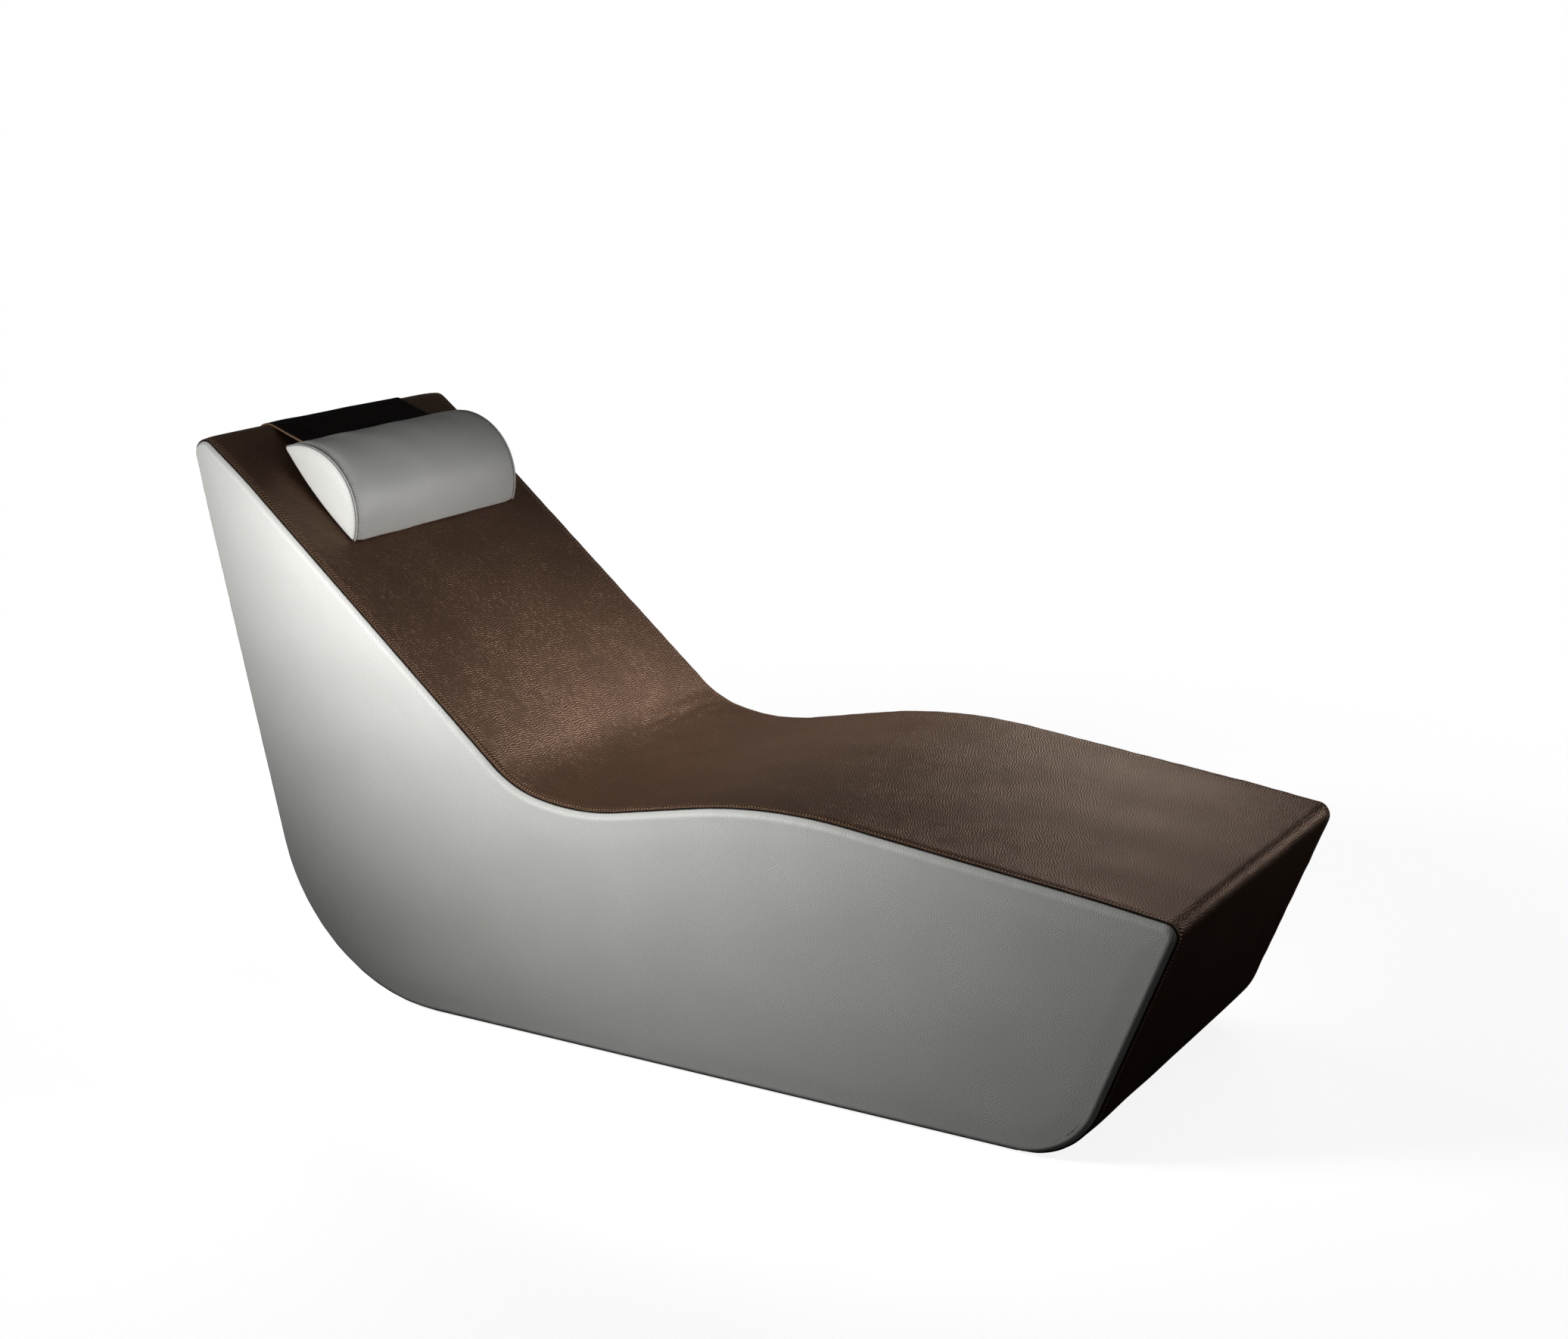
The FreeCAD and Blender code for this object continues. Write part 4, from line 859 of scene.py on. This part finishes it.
strapSize = {
    "width": 364 * mm, "thick": 3 * mm, "drop": 230 * mm, "notch": 0.2 * mm,
    "highlightLine": [3.2 * mm, 3.9 * mm],  # a painted highlight line along each edge, from and to
    "columns": 32, "evenFrom": 8 * mm, "edgeTurn": 2.7,
    "uneven": 0.5 * mm, "swellReach": 0.12, "swellFrom": 0.02,
    "reach": 4 * mm,  # how far the front goes in under the pillow's edge
    "rows": {"front": 26, "crest": 26, "rear": 60},
}
rearWay = rearRun["way"]
crestBetween = math.acos(max(-1, min(1, float(rearWay @ slope))))
crestRadius = lounger["corners"]["crest"][2]
crestCentre = crestTop + unit(slope - rearWay) * crestRadius / math.cos(crestBetween / 2)
midRadius = crestRadius + lounger["softGap"] + strapSize["thick"] / 2
toPillow = pillowEdge - crestCentre
leave = math.atan2(toPillow[1], toPillow[0]) + math.acos(midRadius / np.linalg.norm(toPillow))


def strapPiece(name, middle, normals, hides):
    # Two bonded leathers as one closed section, carried along a middle line: flat above and below, with a
    # painted highlight line above each edge, and at each edge two half-rounds with a notch, tan where the
    # hide is cut.
    each = strapSize["thick"] / 2
    turn = np.linspace(0, strapSize["edgeTurn"], 6)
    side = strapSize["width"] / 2 - each / 2
    highlightAt = np.array(strapSize["highlightLine"])
    even = np.linspace(strapSize["evenFrom"] - side, side - strapSize["evenFrom"], strapSize["columns"])
    flat = np.concatenate([[-side], highlightAt - side, even, (side - highlightAt)[::-1], [side]])
    upper = np.stack([side + each / 2 * np.sin(turn), each / 2 * (1 + np.cos(turn))], -1)
    edge = np.concatenate([upper, [[side - strapSize["notch"], 0]], upper[::-1] * [1, -1]])[1:-1]
    top = np.stack([flat, np.full(len(flat), each)], -1)
    section = np.concatenate([top, edge, top[::-1] * [1, -1], edge[::-1] * [-1, 1]])
    count = len(section)
    edgeAndHighlightLine = np.zeros(count, int)
    edgeAndHighlightLine[len(flat):len(flat) + len(edge)] = 1
    edgeAndHighlightLine[-len(edge):] = 1
    # the faces between the two lines on top take the tan edge colour as a painted highlight
    edgeAndHighlightLine[[1, len(flat) - 3]] = 1
    length = lengthAlong(middle)
    along, across = np.meshgrid(length, section[:, 0], indexing="ij")
    ends = smooth(0, strapSize["swellFrom"], along) * smooth(0, strapSize["swellFrom"], length[-1] - along)
    high = section[:, 1] + strapSize["uneven"] * swell(along, across, strapSize["swellReach"], 61) * ends
    xz = middle[:, None] + normals[:, None] * high[..., None]
    shape = np.stack([xz[..., 0], across + pillow["offset"], xz[..., 1]], -1)
    upperHalf = np.arange(-(len(edge) // 2) - 1, len(flat) + len(edge) // 2 + 1)
    pairs = np.stack([upperHalf, 2 * len(flat) + len(edge) - 1 - upperHalf], -1) % count
    ladder = [list(dict.fromkeys(rung)) for rung in np.hstack([pairs[:-1], pairs[1:, ::-1]]).tolist()]
    caps = ladder + [[v + (len(middle) - 1) * count for v in rung[::-1]] for rung in ladder]
    return makePiece(name, shape, gridFaces(len(middle), count, wrapColumns=True), [strapLeather, cutEdgeAndHighlight],
                     None, np.stack([across, along], -1), np.tile(edgeAndHighlightLine, len(middle) - 1),
                     flip=True, caps=caps, hides=hides)


turns = np.linspace(math.pi, leave, strapSize["rows"]["crest"])
overNormals = np.stack([np.cos(turns), np.sin(turns)], -1)
overPoints = crestCentre + overNormals * midRadius
rearTop, frontStart = overPoints[0], overPoints[-1]
rearEnd = rearTop - [0, strapSize["drop"]]
frontWay = unit(pillowEdge - frontStart)
frontLength = np.linalg.norm(pillowEdge - frontStart) + strapSize["reach"]
down = np.linspace(0, frontLength, strapSize["rows"]["front"])[:, None]
up = np.linspace(strapSize["drop"], 0, strapSize["rows"]["rear"])[:, None]
# each part: its middle line and normals, flat length, hold, what it rests on, and its blend's body and ends
straps = {
    "Front": (frontStart + frontWay * down, np.tile([-frontWay[1], frontWay[0]], (len(down), 1)), frontLength,
              "stretched", "headrestWrap", ("headrest", frontStart, pillowEdge)),
    "Crest": (overPoints, overNormals, midRadius * (math.pi - leave), "stretched", "seatCover", None),
    "Rear": (rearTop - [0, 1] * up, np.tile([-1.0, 0.0], (len(up), 1)), strapSize["drop"], "hung",
             "strapCrest", ("counterweight", rearTop, rearEnd)),
}
for word, (middle, normals, flatLength, held, under, pull) in straps.items():
    piece = strapPiece("strap" + word, middle, normals, ("strap_" + word.lower(),))
    if pull:
        body, start, end = pull
        start, end = ((x, pillow["offset"], z) for x, z in (start, end))
        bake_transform(piece)
    else:
        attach(piece, "base")
print("strap")

# weight pouch: two leathers sewn round the steel bars, its flange over the strap's end

bag = {
    "wall": 2.6 * mm, "bulge": 11.3 * mm, "crown": 1.4 * mm, "crownReach": 26 * mm, "round": 6 * mm,
    "flange": 8.4 * mm, "channel": 1.3 * mm, "channelWidth": 2.2 * mm, "leather": 1.8 * mm,
    "overStrap": 3.1 * mm, "step": 0.4 * mm,  # how far it goes round the strap's end, and within what height
    "rim": 1.2 * mm, "outerRim": 0.9 * mm, "innerRim": 0.8 * mm,  # how wide and how deep its edges round over
    # places in mm: up and down from the edge, in from each side's hem, round a bar's end, and at the channel
    "edge": [0, 0.6, 1.2, 1.8, 2.3, 2.5, 2.8, 3.3, 4, 5, 6.2, 7.6, 9, 12], "hem": [0, 0.6, 1.2, 2, 5, 10, 16],
    "barEnd": [7, 6, 5.6, 5, 4.2, 3.2, 2.2, 1, -1, -4],
    "middle": [-9, -6, -4, -3, -2, -1, 0, 1, 2, 3, 4, 6, 9],
    "faceFrom": 9 * mm, "middleGap": 6 * mm, "faceColumns": 16, "rowsFrom": 16 * mm, "faceRows": 8,
    "stitchAt": 7.2 * mm, "stitchPitch": 5 * mm, "stitchLength": 3.4 * mm, "stitches": (35, 6),
}
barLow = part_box("weight_bar_left")[0]
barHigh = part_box("weight_bar_right")[1]
barMiddle = (barLow + barHigh) / 2
strapBack = rearTop[0] + strapSize["thick"] / 2


def bagFace(y, z):
    # Height of the outer face: over the bars it is wall + bulge and softly crowned; past their edges it falls
    # as a quarter ellipse, sqrt(1 - (d / round)^2), to the flange. A channel runs between the bars.
    away = np.hypot(np.maximum(abs(y - barMiddle.y) - (barHigh.y - barLow.y) / 2, 0),
                    np.maximum(abs(z - barMiddle.z) - (barHigh.z - barLow.z) / 2, 0))
    over = np.sqrt(1 - np.clip(away / bag["round"], 0, 1) ** 2)
    half = (barHigh.y - barLow.y) / 4
    across, rise = (abs(y - barMiddle.y) - half) / half, (z - barMiddle.z) / bag["crownReach"]
    crown = bag["crown"] * np.maximum(1 - across ** 2, 0) * np.maximum(1 - rise ** 2, 0)
    channel = bag["channel"] * bell(y - barMiddle.y, bag["channelWidth"])
    return bag["wall"] + (bag["bulge"] + crown - channel) * over


def weightBag():
    # for each place across, a closed loop: the outer face from below to above, the inner face back down
    edge, hem, sides, middle = (np.array(bag[key]) * mm for key in ("edge", "hem", "barEnd", "middle"))
    low, high = pillow["offset"] - strapSize["width"] / 2, pillow["offset"] + strapSize["width"] / 2
    middle = middle + (low + high) / 2
    start, gap, columns = bag["faceFrom"], bag["middleGap"], bag["faceColumns"]
    y = np.concatenate([low + hem, barLow.y - sides, np.linspace(barLow.y + start, middle[0] - gap, columns),
                        middle, np.linspace(middle[-1] + gap, barHigh.y - start, columns),
                        (barHigh.y + sides)[::-1], (high - hem)[::-1]])
    bottom, top = barLow.z - bag["flange"], barHigh.z + bag["flange"]
    even = np.linspace(bottom + bag["rowsFrom"], top - bag["rowsFrom"], bag["faceRows"])
    z = np.concatenate([bottom + edge, even, (top - edge)[::-1]])
    grid, heights = np.meshgrid(y, z, indexing="ij")
    rim = 1 - smooth(0, bag["rim"], np.minimum(np.minimum(grid - low, high - grid),
                                               np.minimum(heights - bottom, top - heights)))
    over = bag["overStrap"] * smooth(rearEnd[1] - bag["step"], rearEnd[1] + bag["step"], heights)
    outer = strapBack - np.maximum(bagFace(grid, heights) - rim * bag["outerRim"], over + bag["leather"])
    inner = strapBack - over - rim * bag["innerRim"]
    x = np.concatenate([outer, inner[:, ::-1]], 1)
    loopZ = np.concatenate([heights, heights[:, ::-1]], 1)
    loopY = np.concatenate([grid, grid], 1)
    count = x.shape[1]
    k = np.arange(len(z) - 1)
    ends = np.stack([k, k + 1, count - 2 - k, count - 1 - k], -1)
    caps = ends[:, ::-1].tolist() + (ends + (len(y) - 1) * count).tolist()
    makePiece("weightBag", np.stack([x, loopY, loopZ], -1), gridFaces(len(y), count, wrapColumns=True),
              [strapLeather], "counterweight", np.stack([loopY, loopZ], -1), caps=caps,
              hides=("weight_pouch",))


def bagStitches():
    # round the flange, and down the channel
    wide, high = bag["stitches"]
    level = barMiddle.y + np.arange(-wide, wide + 1) * bag["stitchPitch"]
    upright = barMiddle.z + np.arange(-high, high + 1) * bag["stitchPitch"]
    alongY, alongZ = (0, 1, 0), (0, 0, 1)
    rows = [(level, barLow.z - bag["stitchAt"], alongY), (level, barHigh.z + bag["stitchAt"], alongY),
            (barLow.y - bag["stitchAt"], upright, alongZ), (barHigh.y + bag["stitchAt"], upright, alongZ),
            (barMiddle.y, upright[1:-1], alongZ)]
    y = np.concatenate([a + 0 * b for a, b, _ in rows])
    z = np.concatenate([b + 0 * a for a, b, _ in rows])
    ways = np.concatenate([np.tile(np.array(way, float), (np.size(a + b), 1)) for a, b, way in rows])
    over = bag["overStrap"] * (z > rearEnd[1])
    x = strapBack - np.maximum(bagFace(y, z), over + bag["leather"]) - thread["sunk"]
    sew("bagStitches", np.stack([x, y, z], -1), ways, np.tile([-1.0, 0, 0], (len(y), 1)), bag["stitchLength"],
        thread["fine"], brownThread, "counterweight")


weightBag()
bagStitches()
print("weight pouch")

# carried-over pieces get their finish

finishes = {
    "strap_leather": strapLeather,
    "zip_tape": plain("polyesterZipChain", "#BDBDBA", 0.5, grain=1 * mm),  # a fine weave, without shine
    "zip_metal": plain("nickelledZinc", "#B4B2AC", 0.3, metallic=1.0),  # cast, bright and slightly warm
    # rolled, so dull, with a blotchy scale
    "bar_steel": plain("hotRolledSteelBar", "#6A6864", 0.55, metallic=1.0, grain=6 * mm),
    "screw_steel": plain("yellowZincScrews", "#C8B173", 0.35, metallic=1.0),  # plated, a yellow gleam
    "glide_plastic": plain("mouldedPolyamideGlide", "#1C1C1C", 0.5, grain=1 * mm),  # black with a soft sheen
    # heat-bonded fibres, matt and mottled
    "dust_cloth": plain("spunbondDustCloth", "#222222", 0.9, grain=1.5 * mm, depth=0.3 * mm),
    "plywood": timber("birchPlywood", "#D2B48C", "#B08F66", (0.12, 1, 1), 9 * mm),  # pale, with wide figure
    "pine": timber("sawnPine", "#DDBE8E", "#C09A64", (1, 0.08, 1), 6 * mm),  # yellower, with straight streaks
    "white_leather": whiteLeather,
    "brown_leather": brownLeather,
    "foam": plain("openCellFoam", "#D9D4B0", 0.95, grain=1.5 * mm, depth=0.5 * mm),  # cut cells, quite matt
}
for entry in frame["record"]["subparts"]:
    node = frame["nodes"][entry["node"]]
    node.data.materials.clear()
    node.data.materials.append(finishes[entry["material_slot"]])
print("finishes on the frame")

# studio: pale floor that fades into a white backdrop, soft lamps, and the camera

studio = {
    "floorSize": 30.0, "fadeFrom": 1.1, "fadeTo": 2.6, "paper": "#F4F4F4", "paperBounce": "#4C4C4C",
    "paperGlow": 0.88,  # how white the paper is by itself, before its light and shadow
    "world": 0.045, "worldGloss": 0.1,
    # each lamp: place, what it looks at, width, height, power in watts, spread in degrees
    "lamps": {
        "sideSoftbox": ((-0.67, -1.36, 1.07), (-0.11, -0.33, 0.96), 0.77, 0.17, 8.25, 100),
        "slopeSoftbox": ((0.45, 0.85, 1.05), (-0.35, 0.0, 0.5), 0.5, 0.35, 0.75, 90),
        "slopeFill": ((0.35, 0.5, 0.95), (-0.32, -0.1, 0.5), 0.4, 0.3, 1.9, 78),
        "seatSheen": ((0.05, 1.4, 1.05), (0.1, 0.0, 0.45), 0.5, 0.4, 0.15, 80),
        "calfSheen": ((0.35, 1.3, 0.85), (0.4, 0.0, 0.45), 0.5, 0.3, 0.24, 75),
        "backSheen": ((0.1, 2.0, 1.0), (0.3, 0.0, 0.45), 1.3, 0.5, 0.4, 82),
        "toeSheen": ((1.45, 1.17, 0.57), (0.93, 0.0, 0.45), 0.3, 0.12, 0.13, 50),
        "rearFill": ((-2.6, 0.9, 0.6), (-0.9, 0.0, 0.5), 1.2, 0.8, 8, 120),
    },
    "camera": (2.21277, -3.31927, 1.65252),
    "azimuth": 32.524, "elevation": 14.505, "roll": 1.7022,
    "focalPixels": 3097.74, "imageWidth": 2072, "sensor": 36.0,
}
white = (1, 1, 1, 1)
half = studio["floorSize"] / 2
floorMesh = bpy.data.meshes.new("floor")
floorCorners = [(-half, -half, 0), (half, -half, 0), (half, half, 0), (-half, half, 0)]
floorMesh.from_pydata(floorCorners, [], [(0, 1, 2, 3)])
addObject("floor", floorMesh)
# Matt paper. To the camera it is white far out and nearly so by itself near the object, where it also shows
# light and shadow; all other rays meet a darker grey, so that it throws little light up on the object.
paper = bpy.data.materials.new("seamlessPaper")
floorMesh.materials.append(paper)
tree = emptyTree(paper)
place = addNode(tree, "TexCoord")
distance = addNode(tree, "VectorMath", {0: place.outputs["Object"]}, operation="LENGTH")
fade = addNode(tree, "MapRange", {"Value": distance.outputs["Value"], "From Min": studio["fadeFrom"],
                                  "From Max": studio["fadeTo"]}, interpolation_type="SMOOTHSTEP")
seen = addNode(tree, "LightPath").outputs["Is Camera Ray"]
amount = addNode(tree, "Math", {0: fade, 1: seen}, operation="MULTIPLY")
glowing = addNode(tree, "Math", {0: seen, 1: studio["paperGlow"]}, operation="MULTIPLY")
glow = addNode(tree, "Emission", {"Color": white, "Strength": glowing})
bounce = addNode(tree, "Mix", {0: seen, 6: linear(studio["paperBounce"]), 7: linear(studio["paper"])},
                 data_type="RGBA")
matt = addNode(tree, "BsdfDiffuse", {"Color": bounce.outputs[2]})
backdrop = addNode(tree, "Emission", {"Color": white, "Strength": 1.0})
lit = addNode(tree, "AddShader", {0: matt, 1: glow})
mixed = addNode(tree, "MixShader", {0: amount, 1: lit, 2: backdrop})
addNode(tree, "OutputMaterial", {"Surface": mixed})

world = bpy.data.worlds.new("studioWorld")
bpy.context.scene.world = world
tree = emptyTree(world)
ray = addNode(tree, "LightPath").outputs
gloss = addNode(tree, "Math", {0: ray["Is Glossy Ray"], 1: studio["worldGloss"]}, operation="MULTIPLY")
clear = addNode(tree, "Math", {0: ray["Is Camera Ray"], 1: ray["Is Transmission Ray"]}, operation="MAXIMUM")
seen = addNode(tree, "Math", {0: clear, 1: gloss}, operation="MAXIMUM")
power = addNode(tree, "MapRange", {"Value": seen, "To Min": studio["world"], "To Max": 1.0})
sky = addNode(tree, "Background", {"Color": white, "Strength": power})
addNode(tree, "OutputWorld", {"Surface": sky})


def standAt(thing, place, right, up, back):
    # puts a lamp or camera at a place; it looks the other way than back
    axes = np.stack([right, up, back], 1)
    thing.matrix_world = Matrix([[*row, p] for row, p in zip(axes, place)] + [[0, 0, 0, 1]])


for name, (place, target, wide, high, watts, spread) in studio["lamps"].items():
    lamp = bpy.data.lights.new(name, "AREA")
    lamp.shape = "RECTANGLE"
    lamp.size, lamp.size_y, lamp.energy, lamp.spread = wide, high, watts, math.radians(spread)
    holder = addObject(name, lamp)
    back = unit(np.array(place) - np.array(target))
    right = unit(np.cross([0, 0, 1], back))
    standAt(holder, place, right, np.cross(back, right), back)
    holder.visible_camera = False

a, e, r = (math.radians(studio[k]) for k in ("azimuth", "elevation", "roll"))
back = np.array([math.sin(a) * math.cos(e), -math.cos(a) * math.cos(e), math.sin(e)])
right = np.array([math.cos(a), math.sin(a), 0])
up = np.cross(back, right)
view = bpy.data.cameras.new("camera")
view.sensor_width = studio["sensor"]
view.lens = studio["focalPixels"] / studio["imageWidth"] * studio["sensor"]
camera = addObject("camera", view)
standAt(camera, studio["camera"], math.cos(r) * right - math.sin(r) * up,
        math.sin(r) * right + math.cos(r) * up, back)
bpy.context.scene.camera = camera
bpy.context.scene.view_settings.view_transform = "Standard"
print("studio")

bpy.context.view_layer.update()
